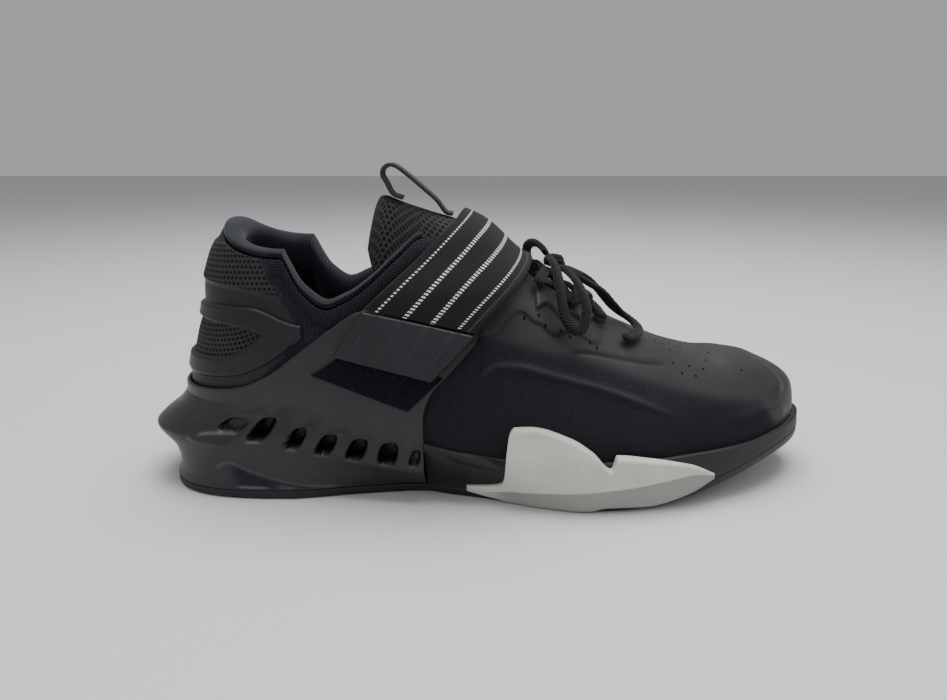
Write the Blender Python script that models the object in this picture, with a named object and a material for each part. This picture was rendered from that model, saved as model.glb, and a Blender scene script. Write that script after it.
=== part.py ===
"""Right weightlifting shoe, in metres: +X to the toe, +Y to the inner side of the foot, +Z up.

The shoe stands on z = 0, centred on the origin. Its surfaces come from one body function, the
outside of the upper, and pieces are set in or out from it by named walls and clearances.
"""
import math
from collections import namedtuple

import bmesh
import bpy
import numpy as np
from mathutils import Vector

# Driving sizes: LENGTH is the unit of the stations, and the rear ledge and the toe reach a little beyond it
LENGTH = 0.300
BALL_WIDTH = 0.108
HEEL_WIDTH = 0.088
HEEL_REACH = 0.050
INSTEP_HEIGHT = 0.118
REAR_COLLAR_HEIGHT = 0.1155
HEEL_BED_HEIGHT = 0.039
BALL_BED_HEIGHT = 0.0145
TOE_SPRING = 0.019
AXIS_OFFSET = 0.003
FORWARD_OFFSET = -0.0028

# Walls and clearances
CLEARANCE = 0.0004
OVERLAY_GAP = 0.0009
UPPER_WALL = 0.0020
FRAME_WALL = 0.0018
COUNTER_WALL = 0.0014
OUTSOLE_THICKNESS = 0.0038
INSOLE_THICKNESS = 0.0040
COLLAR_PAD = 0.0080
COLLAR_ROLL = 0.0045
COLLAR_DEPTH = 0.0240
TONGUE_THICKNESS = 0.0045
TONGUE_SWEEP = 0.0056
EYESTAY_WALL = 0.0014
STRAP_THICKNESS = 0.0020
TAB_THICKNESS = 0.0030
PATCH_THICKNESS = 0.0012
LOOP_WIDTH = 0.009
LOOP_THICKNESS = 0.0018
LACE_DIAMETER = 0.0046
CROSSING_SAG = 0.0014
WRAP_THICKNESS = 0.0026
MIDSOLE_WALL = 0.0020
GROOVE_DEPTH = 0.0018
GROOVE_WIDTH = 0.0026
WINDOW_DEPTH = 0.006
WINDOW_WIDTH = 0.0078
WINDOW_HEIGHT = 0.0090

# Exponents of the superellipses that round the plan and the sections
HEEL_ROUNDNESS = 2.25
ARCH_ROUNDNESS = 2.3
SOLE_ROUNDNESS = 2.8
TOE_CAP_ROUNDNESS = 5.0

# Stations along the shoe, as shares of LENGTH from near the rear
HEEL_CENTRE = 0.2333
TOE_START = 0.700
TOE_TIP = 1.011
THROAT_FRONT = 0.693
FRAME_FRONT = 0.425
SOLE_TIP = 1.0185
LAST_TOE_ANGLE = math.radians(86.0)

# Body sections. centre and half are shares of BALL_WIDTH, bed of the rise from the ball's bed to
# the heel's bed, top of INSTEP_HEIGHT, and edge is the opening's height as a share of the arch.
Section = namedtuple("Section", "along centre half bed top edge")
BODY = (
    Section(0.2333, -0.006, 0.338, 0.98, 1.407, 0.512),
    Section(0.2600, -0.007, 0.342, 0.90, 1.330, 0.438),
    Section(0.2833, -0.009, 0.347, 0.83, 1.271, 0.425),
    Section(0.3200, -0.012, 0.356, 0.72, 1.195, 0.500),
    Section(0.3550, -0.016, 0.366, 0.60, 1.130, 0.622),
    Section(0.3900, -0.020, 0.375, 0.48, 1.087, 0.757),
    Section(0.4233, -0.022, 0.385, 0.38, 1.058, 0.865),
    Section(0.5000, -0.023, 0.413, 0.20, 0.992, 0.925),
    Section(0.5733, -0.020, 0.443, 0.08, 0.828, 0.955),
    Section(0.6400, -0.016, 0.461, 0.02, 0.703, 0.980),
    Section(0.6930, -0.010, 0.459, 0.00, 0.627, 1.000),
    Section(0.7500, 0.000, 0.458, 0.04, 0.562, 1.000),
    Section(0.8000, 0.014, 0.458, 0.10, 0.512, 1.000),
    Section(0.8500, 0.028, 0.458, 0.15, 0.482, 1.000),
    Section(0.9000, 0.046, 0.458, 0.22, 0.466, 1.000),
    Section(0.9500, 0.064, 0.458, 0.32, 0.455, 1.000),
    Section(1.0000, 0.078, 0.458, 0.40, 0.430, 1.000),
)

# The heel's rear outline: height as a share of REAR_COLLAR_HEIGHT, reach of HEEL_REACH
Rear = namedtuple("Rear", "height reach")
REAR = (
    Rear(0.290, 1.060), Rear(0.388, 1.050), Rear(0.441, 1.030), Rear(0.597, 0.935),
    Rear(0.710, 0.850), Rear(0.776, 0.840), Rear(0.892, 0.760), Rear(0.970, 0.660), Rear(1.100, 0.480),
)

# Floor outline of the sole. centre and half are shares of BALL_WIDTH, spring of TOE_SPRING,
# rim is the height of the frame's ledge and side the height of the sole's wall, of HEEL_BED_HEIGHT.
Floor = namedtuple("Floor", "along centre half spring rim side")
FLOOR = (
    Floor(0.0000, 0.000, 0.398, 0.00, 0.70, 1.20),
    Floor(0.1300, 0.000, 0.405, 0.00, 0.70, 1.20),
    Floor(0.2333, 0.000, 0.386, 0.00, 0.69, 1.10),
    Floor(0.3333, -0.004, 0.336, 0.00, 0.50, 0.90),
    Floor(0.4233, -0.012, 0.304, 0.00, 0.40, 0.72),
    Floor(0.4700, -0.022, 0.330, 0.00, 0.38, 0.64),
    Floor(0.5333, -0.022, 0.380, 0.00, 0.36, 0.58),
    Floor(0.5900, -0.019, 0.434, 0.00, 0.36, 0.56),
    Floor(0.6560, -0.015, 0.476, 0.00, 0.36, 0.56),
    Floor(0.7000, -0.008, 0.481, 0.02, 0.36, 0.57),
    Floor(0.7500, 0.002, 0.481, 0.10, 0.36, 0.58),
    Floor(0.8000, 0.012, 0.481, 0.24, 0.38, 0.60),
    Floor(0.8500, 0.026, 0.481, 0.44, 0.42, 0.61),
    Floor(0.9000, 0.041, 0.481, 0.66, 0.48, 0.62),
    Floor(0.9500, 0.056, 0.481, 0.84, 0.56, 0.66),
    Floor(1.0000, 0.066, 0.481, 0.95, 0.62, 0.70),
)

# The frame's side, from the sole up: rise is a share of the ledge's height, reach the rear
# reach as a share of HEEL_REACH, blend goes from floor outline 0 to body 1, bulge is of BALL_WIDTH.
Level = namedtuple("Level", "rise reach blend bulge")
FRAME_LEVELS = (
    Level(0.165, 1.215, 0.00, 0.000),
    Level(0.360, 1.180, 0.15, 0.004),
    Level(0.660, 1.240, 0.50, 0.012),
    Level(0.930, 1.399, 0.85, 0.034),
    Level(1.060, 1.370, 0.95, 0.040),
    Level(1.330, 1.190, 1.00, 0.030),
)

# Top lip of the frame's wing: along and height as shares of LENGTH and INSTEP_HEIGHT
Lip = namedtuple("Lip", "along height")
LIP = (
    Lip(0.030, 0.385), Lip(0.120, 0.400), Lip(0.165, 0.420), Lip(0.205, 0.466), Lip(0.250, 0.548),
    Lip(0.295, 0.632), Lip(0.340, 0.700), Lip(0.400, 0.725), Lip(0.480, 0.690), Lip(0.600, 0.600),
)

# Windows of the frame: places as shares of LENGTH and INSTEP_HEIGHT, sizes and depths as shares of the
# window sizes, and how far the top leans forward for each unit of its rise
Window = namedtuple("Window", "along height wide tall deep lean")
WINDOWS = (
    Window(0.1530, 0.286, 1.45, 0.72, -0.30, 1.00),
    Window(0.1940, 0.272, 0.98, 1.12, 1.00, 0.74),
    Window(0.2420, 0.238, 0.84, 1.00, 1.00, 0.54),
    Window(0.2850, 0.217, 0.92, 1.00, 1.00, 0.52),
    Window(0.3290, 0.203, 0.98, 1.00, 1.00, 0.42),
    Window(0.3740, 0.193, 1.02, 1.00, 1.00, 0.22),
    Window(0.4125, 0.183, 0.54, 0.74, 0.00, 0.30),
)

# Side-view places as (share of LENGTH, share of INSTEP_HEIGHT)
WING_FRONT = ((0.425, 0.340), (0.432, 0.410), (0.468, 0.510), (0.500, 0.605))
Corners = namedtuple("Corners", "low_rear low_front high_rear high_front")
TAB = Corners((0.302, 0.550), (0.440, 0.468), (0.347, 0.708), (0.500, 0.628))
PATCH = Corners((0.268, 0.478), (0.405, 0.355), (0.318, 0.630), (0.455, 0.550))
STRAP_INNER_LOW = ((0.365, 0.560), (0.500, 0.490))
STRAP_TOP = (0.478, 0.573)
STRAP_LOW_LIFT = 0.0044
STRAP_TOP_LIFT = 0.0010

# Heights of the counter's edges: above the frame's lip, and as shares of INSTEP_HEIGHT
COUNTER_FRONT = 0.258
COUNTER_RISE = 0.005
COUNTER_TOP = (0.700, 0.715, 0.655)
LEAF_HALF_WIDTH = 0.034
LEAF_HALF_HEIGHT = 0.0075
LEAF_HEIGHT = 0.566

# Tongue, from its top edge to its end under the vamp: along, half and drop of its edges, shares
# of LENGTH, BALL_WIDTH and INSTEP_HEIGHT
Tongue = namedtuple("Tongue", "along half drop")
TONGUE = (
    Tongue(0.366, 0.150, 0.170), Tongue(0.372, 0.180, 0.205), Tongue(0.385, 0.196, 0.190),
    Tongue(0.423, 0.170, 0.070), Tongue(0.480, 0.165, 0.000), Tongue(0.560, 0.185, 0.000),
    Tongue(0.640, 0.200, 0.000), Tongue(0.710, 0.190, 0.000),
)

# The pull loop's path: where it is sewn to the tongue in front and behind, as shares of LENGTH,
# and its rise between them as shares of LENGTH and INSTEP_HEIGHT
LOOP_FRONT_SEAT = (0.466, 0.455)
LOOP_REAR_SEAT = (0.379, 0.393)
LOOP_PATH = (
    (0.441, 1.068), (0.421, 1.113), (0.400, 1.158), (0.383, 1.189),
    (0.372, 1.194), (0.3645, 1.180), (0.363, 1.157), (0.3685, 1.131),
)

# Lace paths over the shoe, as (share of LENGTH, share of BALL_WIDTH to the inner side, lift in LACE_DIAMETER)
KNOT = (0.598, 0.0, 1.90)
KNOT_SCALE = (2.4, 2.2, 1.1)
LOOP_OUTER = (
    (0.589, -0.050, 1.95), (0.588, -0.100, 2.20), (0.592, -0.150, 2.30),
    (0.598, -0.205, 2.15), (0.605, -0.255, 1.80),
    (0.614, -0.295, 1.50), (0.627, -0.308, 1.40), (0.637, -0.290, 1.55),
    (0.638, -0.245, 2.10), (0.630, -0.195, 2.40),
    (0.621, -0.145, 2.40), (0.613, -0.095, 2.20), (0.607, -0.050, 1.95),
)
LOOP_INNER = (
    (0.589, 0.050, 1.95), (0.580, 0.080, 2.25), (0.569, 0.120, 2.35),
    (0.563, 0.170, 2.15), (0.567, 0.220, 2.00),
    (0.582, 0.255, 1.90), (0.602, 0.262, 1.90), (0.614, 0.230, 2.25),
    (0.616, 0.180, 2.40), (0.613, 0.130, 2.40),
    (0.609, 0.085, 2.20), (0.607, 0.050, 1.95),
)
END_OUTER = (
    (0.6178, -0.025, 1.95), (0.632, -0.045, 2.15), (0.650, -0.060, 2.25),
    (0.672, -0.060, 2.20), (0.695, -0.040, 1.60),
    (0.715, -0.030, 1.05), (0.733, -0.060, 0.80), (0.738, -0.110, 0.68),
    (0.730, -0.165, 0.64), (0.716, -0.210, 0.64),
    (0.706, -0.225, 0.66),
)
END_INNER = (
    (0.6178, 0.025, 1.95), (0.630, 0.060, 2.20), (0.648, 0.105, 2.45),
    (0.668, 0.140, 2.45), (0.690, 0.170, 2.00),
    (0.712, 0.172, 1.25), (0.731, 0.145, 0.75), (0.744, 0.100, 0.64),
)

# Pale wrap's outline on the side: along, low and high as shares of LENGTH and HEEL_BED_HEIGHT
Flange = namedtuple("Flange", "along low high")
WRAP = (
    Flange(0.485, 0.09, 0.16), Flange(0.512, 0.05, 0.20), Flange(0.532, 0.03, 0.30),
    Flange(0.538, 0.02, 0.50), Flange(0.543, 0.02, 0.70), Flange(0.549, 0.02, 0.88),
    Flange(0.556, 0.02, 0.94), Flange(0.575, 0.01, 0.95), Flange(0.628, 0.01, 0.84),
    Flange(0.658, 0.02, 0.70), Flange(0.684, 0.06, 0.52), Flange(0.692, 0.06, 0.66),
    Flange(0.735, 0.06, 0.62), Flange(0.800, 0.17, 0.50), Flange(0.835, 0.30, 0.36),
)
# Runs of stations along the wrap, as (start, steps): its rear edge is steep
WRAP_RUNS = ((0.485, 4), (0.530, 7), (0.556, 18), (0.835, 0))

# Lace crossings: along as a share of LENGTH, spread of BALL_WIDTH
Eyelet = namedtuple("Eyelet", "along spread")
EYELETS = (Eyelet(0.578, 0.215), Eyelet(0.628, 0.200), Eyelet(0.678, 0.180))

# Materials: base colour, roughness, metallic
MATERIALS = {
    "outsole": (0.020, 0.020, 0.022, 0.75, 0.0),
    "forefoot_wrap": (0.560, 0.565, 0.500, 0.70, 0.0),
    "midsole": (0.022, 0.022, 0.024, 0.60, 0.0),
    "heel_frame": (0.030, 0.030, 0.031, 0.38, 0.0),
    "insole": (0.060, 0.062, 0.068, 0.90, 0.0),
    "upper": (0.018, 0.019, 0.024, 0.62, 0.0),
    "heel_counter": (0.022, 0.022, 0.024, 0.45, 0.0),
    "collar": (0.016, 0.016, 0.019, 0.95, 0.0),
    "tongue": (0.017, 0.017, 0.019, 0.92, 0.0),
    "strap": (0.014, 0.014, 0.016, 0.88, 0.0),
    "strap_tab": (0.026, 0.027, 0.030, 0.50, 0.0),
    "hook_patch": (0.012, 0.012, 0.018, 0.98, 0.0),
    "pull_loop": (0.050, 0.050, 0.052, 0.85, 0.0),
    "eyestay": (0.018, 0.018, 0.022, 0.58, 0.0),
    "lace": (0.013, 0.013, 0.015, 0.90, 0.0),
}

OUTER_SIDE = -1
INNER_SIDE = 1


def clear_scene():
    for old in list(bpy.data.objects):
        bpy.data.objects.remove(old, do_unlink=True)


def x_at(share):
    """The x of a station given as a share of the length from the rear."""
    return (share - 0.5) * LENGTH


def share_at(x):
    return x / LENGTH + 0.5


def read(table, key, name, at):
    """A smooth value between a table's rows, without overshoot (monotone cubic)."""
    xs = [getattr(row, key) for row in table]
    ys = [getattr(row, name) for row in table]
    if at <= xs[0]:
        return ys[0]
    if at >= xs[-1]:
        return ys[-1]
    steps = [(ys[i + 1] - ys[i]) / (xs[i + 1] - xs[i]) for i in range(len(xs) - 1)]
    slopes = [steps[0]]
    for before, after in zip(steps, steps[1:]):
        slopes.append(0.0 if before * after <= 0 else 2 * before * after / (before + after))
    slopes.append(steps[-1])
    i = next(i for i in range(len(xs) - 1) if at <= xs[i + 1])
    span = xs[i + 1] - xs[i]
    t = (at - xs[i]) / span
    return (
        (1 + 2 * t) * (1 - t) ** 2 * ys[i]
        + t * (1 - t) ** 2 * span * slopes[i]
        + t * t * (3 - 2 * t) * ys[i + 1]
        - t * t * (1 - t) * span * slopes[i + 1]
    )


def mix(a, b, t):
    return a + (b - a) * t


def ease(t):
    t = min(max(t, 0.0), 1.0)
    return t * t * (3 - 2 * t)


def body(name, x):
    return read(BODY, "along", name, share_at(x))


def floor(name, x):
    return read(FLOOR, "along", name, share_at(x))


def bed_height(x):
    """Top of the sole inside the shoe, where the upper and the insole stand."""
    return mix(BALL_BED_HEIGHT, HEEL_BED_HEIGHT, body("bed", x))


def spring_height(x):
    """Underside of the outsole: flat at heel and ball, rising to the toe."""
    return TOE_SPRING * floor("spring", x)


def toe_share(x):
    return min(max((x - x_at(TOE_START)) / (x_at(TOE_TIP) - x_at(TOE_START)), 0.0), 0.9995)


def arch(x):
    """Centre, half width, foot and height of the body's section at x."""
    along = max(x, x_at(HEEL_CENTRE))
    toe = toe_share(along)
    foot = bed_height(along)
    cap = (1 - toe ** TOE_CAP_ROUNDNESS) ** (1 / TOE_CAP_ROUNDNESS)
    rise = (INSTEP_HEIGHT * body("top", along) - foot) * cap
    half = BALL_WIDTH * body("half", along) * math.sqrt(max(1 - toe * toe, 0.0))
    return BALL_WIDTH * body("centre", along), half, foot, rise


def rear_reach(z):
    return HEEL_REACH * read(REAR, "height", "reach", z / REAR_COLLAR_HEIGHT)


def body_field(x, y, z):
    """Below 1 inside the body and above 1 outside it."""
    centre, half, foot, rise = arch(x)
    share = max(z - foot, 0.0) / rise
    if x >= x_at(HEEL_CENTRE):
        return abs(y / half - centre / half) ** ARCH_ROUNDNESS + share ** ARCH_ROUNDNESS
    width = half * max(1 - share ** ARCH_ROUNDNESS, 1e-6) ** (1 / ARCH_ROUNDNESS)
    back = (x_at(HEEL_CENTRE) - x) / rear_reach(z)
    return back ** HEEL_ROUNDNESS + abs((y - centre) / width) ** HEEL_ROUNDNESS


def outward(point):
    """The body's outward direction at a point of its surface."""
    step = 0.0002
    slope = []
    for axis in range(3):
        ahead = list(point)
        behind = list(point)
        ahead[axis] += step
        behind[axis] -= step
        slope.append(body_field(*ahead) - body_field(*behind))
    return Vector(slope).normalized()


class Column:
    """A line up the shoe: round the heel and the toe it has an angle, along the side an x."""

    def __init__(self, side, x=None, angle=None, toe=None):
        self.side = side
        self.angle = angle
        self.toe = toe
        self.x = x_at(HEEL_CENTRE) if x is None else x
        self.sole_x = self.x
        if toe is not None:
            self.x = mix(x_at(TOE_START), x_at(TOE_TIP), math.sin(toe))
            self.sole_x = mix(x_at(TOE_START), x_at(SOLE_TIP), math.sin(toe))

    def point(self, z, offset=0.0):
        """The body's surface at height z, moved out by offset."""
        centre, half, foot, rise = arch(self.x)
        share = min(max(z - foot, 0.0) / rise, 1.0)
        width = half * (1 - share ** ARCH_ROUNDNESS) ** (1 / ARCH_ROUNDNESS)
        x = self.x
        if self.angle is not None:
            x -= rear_reach(z) * math.cos(self.angle) ** (2 / HEEL_ROUNDNESS)
            width *= math.sin(self.angle) ** (2 / HEEL_ROUNDNESS)
        surface = Vector((x, centre + self.side * width, z))
        if offset == 0.0:
            return surface
        return surface + outward(surface) * offset

    def edge_height(self):
        """Height of the upper's top edge on this column."""
        centre, half, foot, rise = arch(self.x)
        side_edge = foot + rise * body("edge", self.x)
        if self.angle is None:
            return side_edge
        return mix(REAR_COLLAR_HEIGHT, side_edge, ease(self.angle / math.radians(90)))

    def foot_height(self):
        return arch(self.x)[2]

    def sole_point(self, level):
        """A point of the sole's outside at one of its levels."""
        return self.outline(level.reach, level.blend, level.bulge * BALL_WIDTH)

    def outline(self, reach, blend, bulge):
        """Plan outline between the floor outline (0) and the body's foot (1), pushed out by bulge."""
        round_toe = 1.0 if self.toe is None else math.cos(self.toe)
        body_centre, body_half, foot, rise = arch(self.x)
        centre = mix(BALL_WIDTH * floor("centre", self.sole_x), body_centre, blend)
        half = mix(BALL_WIDTH * floor("half", self.sole_x) * round_toe, body_half, blend) + bulge * round_toe
        x = self.sole_x
        if self.angle is not None:
            floor_half = HEEL_WIDTH / 2
            roundness = mix(SOLE_ROUNDNESS, HEEL_ROUNDNESS, blend)
            half = mix(mix(floor_half, half, ease(self.angle / math.radians(90))), half, blend)
            x -= HEEL_REACH * reach * math.cos(self.angle) ** (2 / roundness)
            half *= math.sin(self.angle) ** (2 / roundness)
        return x, centre + self.side * half


def heel_columns(side, steps=9):
    """Columns from the rear of the heel to its side, the first on the centre line."""
    return [Column(side, angle=math.radians(90 * i / steps)) for i in range(steps)]


def side_columns(side, start, end, steps):
    return [Column(side, x=mix(x_at(start), x_at(end), i / steps)) for i in range(steps + 1)]


def toe_columns(side, steps=7):
    """Columns round the toe, after the one at its start."""
    return [Column(side, toe=LAST_TOE_ANGLE * (i + 1) / steps) for i in range(steps)]


def finish_mesh(name, mesh_data):
    """Welds a mesh's doubles, turns its faces out and makes it an object with its own material."""
    bmesh.ops.remove_doubles(mesh_data, verts=mesh_data.verts, dist=1e-6)
    bmesh.ops.dissolve_degenerate(mesh_data, edges=mesh_data.edges, dist=1e-7)
    bmesh.ops.recalc_face_normals(mesh_data, faces=mesh_data.faces)
    mesh = bpy.data.meshes.new(name)
    mesh_data.to_mesh(mesh)
    mesh_data.free()
    mesh.shade_smooth()
    mesh.set_sharp_from_angle(angle=math.radians(35))
    return place(name, mesh)


def place(name, data):
    made = bpy.data.objects.new(name, data)
    bpy.context.scene.collection.objects.link(made)
    paint(made)
    return made


def paint(made):
    key = next(key for key in MATERIALS if made.name.startswith(key))
    red, green, blue, roughness, metallic = MATERIALS[key]
    material = bpy.data.materials.new(made.name)
    material.use_nodes = True
    shader = material.node_tree.nodes["Principled BSDF"]
    shader.inputs["Base Color"].default_value = (red, green, blue, 1.0)
    shader.inputs["Roughness"].default_value = roughness
    shader.inputs["Metallic"].default_value = metallic
    made.data.materials.append(material)


def shifted(point):
    """A point moved from the last's axis to the part's frame."""
    return (point[0] + FORWARD_OFFSET, point[1] + AXIS_OFFSET, point[2])


def loft(name, loops, caps=("flat", "flat")):
    """A closed solid through closed loops of as many points each.

    An end is closed by a flat face, or across, by a strip that joins a loop's two halves, or it
    is left because the last loop has folded into a line.
    """
    shape = bmesh.new()
    rows = [[shape.verts.new(shifted(point)) for point in loop] for loop in loops]
    count = len(loops[0])
    for row, after in zip(rows, rows[1:]):
        for i in range(count):
            shape.faces.new((row[i], row[(i + 1) % count], after[(i + 1) % count], after[i]))
    for row, cap in zip((rows[0], rows[-1]), caps):
        if cap == "flat":
            shape.faces.new(row)
        if cap == "across":
            for i in range(count // 2 - 1):
                shape.faces.new((row[i], row[i + 1], row[count - 2 - i], row[count - 1 - i]))
    return finish_mesh(name, shape)


def patch(name, columns, lows, highs, inner, outer, rows=6):
    """A shell on the body between a low and a high edge, from offset inner to offset outer."""
    loops = []
    for column, low, high in zip(columns, lows, highs):
        heights = [mix(low, high, i / rows) for i in range(rows + 1)]
        outside = [column.point(z, outer) for z in heights]
        inside = [column.point(z, inner) for z in reversed(heights)]
        loops.append(outside + inside)
    return loft(name, loops)


def cup(name, stations, outer_rows, inner_rows, caps):
    """A sole piece with low walls: at each station a U section from one side to the other."""
    loops = []
    for outer_column, inner_column in stations:
        one = outer_rows(outer_column) + inner_rows(outer_column)
        other = outer_rows(inner_column) + inner_rows(inner_column)
        loops.append(one + list(reversed(other)))
    return loft(name, loops, caps)


def paired(maker):
    """The columns of both sides, in pairs."""
    return list(zip(maker(OUTER_SIDE), maker(INNER_SIDE)))


def ankle_columns(side):
    """Columns from the rear to the front end of the collar, shared by the upper and its collar."""
    return heel_columns(side) + side_columns(side, HEEL_CENTRE, FRAME_FRONT, 11)


def make_upper():
    """The shell of the upper: outer and inner walls round the foot, joined at their rims."""
    rows = 9
    instep = 6

    def half(side):
        columns = ankle_columns(side)
        columns += side_columns(side, FRAME_FRONT, THROAT_FRONT, instep)[1:]
        columns += side_columns(side, THROAT_FRONT, TOE_START, 1)[1:]
        return columns + toe_columns(side)

    ring = list(reversed(half(OUTER_SIDE))) + half(INNER_SIDE)[1:]
    shape = bmesh.new()
    outside = []
    inside = []
    for column in ring:
        foot = column.foot_height() + CLEARANCE
        edge = column.edge_height()
        rise = arch(column.x)[3]
        top_angle = math.asin(min((edge - column.foot_height()) / rise, 1.0) ** (ARCH_ROUNDNESS / 2))
        shares = [math.sin(top_angle * i / rows) ** (2 / ARCH_ROUNDNESS) for i in range(rows + 1)]
        heights = [max(column.foot_height() + rise * share, foot) for share in shares]
        outside.append([shape.verts.new(shifted(column.point(z))) for z in heights])
        inside.append([shape.verts.new(shifted(column.point(z, -UPPER_WALL))) for z in heights])
    for k in range(len(ring) - 1):
        open_top = ring[k].x < x_at(THROAT_FRONT) - 1e-6 or ring[k + 1].x < x_at(THROAT_FRONT) - 1e-6
        wall_faces(shape, outside[k], outside[k + 1], inside[k], inside[k + 1], open_top)
    wall_faces(shape, outside[-1], outside[0], inside[-1], inside[0], False)
    return finish_mesh("upper", shape)


def wall_faces(shape, out_a, out_b, in_a, in_b, open_top):
    """Faces between two neighbouring columns of a wall, with its rims."""
    for m in range(len(out_a) - 1):
        shape.faces.new((out_a[m], out_b[m], out_b[m + 1], out_a[m + 1]))
        shape.faces.new((in_a[m + 1], in_b[m + 1], in_b[m], in_a[m]))
    shape.faces.new((in_a[0], in_b[0], out_b[0], out_a[0]))
    if open_top:
        shape.faces.new((out_a[-1], out_b[-1], in_b[-1], in_a[-1]))


def sole_top(x):
    """Top of the outsole sheet."""
    return spring_height(x) + OUTSOLE_THICKNESS


def ledge_height(x):
    return HEEL_BED_HEIGHT * floor("rim", x)


def lip_height(x):
    return INSTEP_HEIGHT * read(LIP, "along", "height", share_at(x))


def side_view(outline, z):
    """The x of a side-view outline at height z."""
    heights = [share[1] * INSTEP_HEIGHT for share in outline]
    stations = [x_at(share[0]) for share in outline]
    order = np.argsort(heights)
    return float(np.interp(z, np.array(heights)[order], np.array(stations)[order]))


def frame_columns(side):
    return heel_columns(side, 10) + side_columns(side, HEEL_CENTRE, FRAME_FRONT, 12)


def wing_rows(column, offset):
    """Points up the frame's wing, whose columns lean forward towards its front edge."""
    steps = 7
    low = ledge_height(column.x) * FRAME_LEVELS[-1].rise + 0.006
    lean = ease((share_at(column.x) - HEEL_CENTRE) / (FRAME_FRONT - HEEL_CENTRE))
    lean = 0.0 if column.angle is not None else lean
    points = []
    for i in range(steps + 1):
        t = i / steps
        x = column.x
        for turn in range(6):
            high = lip_height(column.point(REAR_COLLAR_HEIGHT * 0.4)[0] if column.angle is not None else x)
            z = mix(low, high, t)
            front = side_view(WING_FRONT, z) - x_at(FRAME_FRONT)
            x = column.x + lean * front
        leaned = Column(column.side, x=x, angle=column.angle) if column.angle is None else column
        points.append(leaned.point(z, offset))
    return points


def make_heel_frame():
    """The moulded heel wedge: base, waist, ledge, windows and the wing round the quarter."""
    inner_offset = CLEARANCE
    outer_offset = CLEARANCE + FRAME_WALL

    def outer_rows(column):
        points = []
        for i, level in enumerate(FRAME_LEVELS):
            x, y = column.sole_point(level)
            z = ledge_height(column.x) * level.rise
            if i == 0:
                z = sole_top(column.x) + CLEARANCE
            points.append(Vector((x, y, z)))
        return points + wing_rows(column, outer_offset)

    def inner_rows(column):
        inside = wing_rows(column, inner_offset)
        floor_z = column.foot_height()
        foot = column.point(floor_z + CLEARANCE, inner_offset)
        return list(reversed(inside)) + [Vector((foot[0], foot[1], floor_z))]

    columns = list(reversed(paired(frame_columns)))
    frame = cup("heel_frame", columns, outer_rows, inner_rows, ("flat", "folded"))
    cut(frame, window_cutter())
    return frame


def window_cutter():
    """Slanted round-cornered prisms that cut the windows into both sides of the frame."""
    shape = bmesh.new()
    for side in (OUTER_SIDE, INNER_SIDE):
        for window in WINDOWS:
            x = x_at(window.along)
            column = Column(side, x=x) if x > x_at(HEEL_CENTRE) else heel_side_column(side, x)
            z = window.height * INSTEP_HEIGHT
            wall = column.point(max(z, column.foot_height() + CLEARANCE))[1]
            near = wall + side * 0.030
            far = wall - side * WINDOW_DEPTH * window.deep
            window_prism(shape, window, x, z, near, far)
    return cutter("window_cutter", shape)


def heel_side_column(side, x):
    """The heel column that passes through x at ledge height."""
    z = ledge_height(x) * FRAME_LEVELS[-1].rise
    back = min((x_at(HEEL_CENTRE) - x) / rear_reach(z), 1.0)
    return Column(side, angle=math.acos(back ** (HEEL_ROUNDNESS / 2)))


def window_prism(shape, window, x, z, near, far):
    corner = 3.0
    half_wide = window.wide * WINDOW_WIDTH / 2
    half_tall = window.tall * WINDOW_HEIGHT / 2
    ring = []
    for k in range(12):
        angle = math.tau * k / 12
        across = math.copysign(abs(math.cos(angle)) ** (2 / corner), math.cos(angle)) * half_wide
        up = math.copysign(abs(math.sin(angle)) ** (2 / corner), math.sin(angle)) * half_tall
        ring.append((x + across + up * window.lean, z + up))
    ends = []
    for y in (near, far):
        ends.append([shape.verts.new(shifted((px, y, pz))) for px, pz in ring])
    shape.faces.new(ends[0])
    shape.faces.new(list(reversed(ends[1])))
    for k in range(12):
        after = (k + 1) % 12
        shape.faces.new((ends[0][k], ends[1][k], ends[1][after], ends[0][after]))


def cutter(name, shape):
    bmesh.ops.recalc_face_normals(shape, faces=shape.faces)
    mesh = bpy.data.meshes.new(name)
    shape.to_mesh(mesh)
    shape.free()
    made = bpy.data.objects.new(name, mesh)
    bpy.context.scene.collection.objects.link(made)
    made.hide_render = True
    made.display_type = "WIRE"
    return made


def cut(target, tool):
    hole = target.modifiers.new("cut", "BOOLEAN")
    hole.operation = "DIFFERENCE"
    hole.object = tool


def sole_columns(side):
    columns = heel_columns(side, 10) + side_columns(side, HEEL_CENTRE, TOE_START, 16)
    return columns + toe_columns(side)


def make_outsole():
    """The full-length rubber sheet, with its edge rounded under and its lugs cut by grooves."""
    under = Level(0.0, 1.165, 0.0, -0.014)
    edge_low = Level(0.0, 1.215, 0.0, 0.0)

    def outer_rows(column):
        low = spring_height(column.x)
        x0, y0 = column.sole_point(under)
        x1, y1 = column.sole_point(edge_low)
        top = low + OUTSOLE_THICKNESS
        return [Vector((x0, y0, low)), Vector((x1, y1, low + 0.0012)), Vector((x1, y1, top))]

    def no_rows(column):
        return []

    stations = list(reversed(paired(sole_columns)))
    outsole = cup("outsole", stations, outer_rows, no_rows, ("across", "folded"))
    cut(outsole, groove_cutter())
    return outsole


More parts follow.
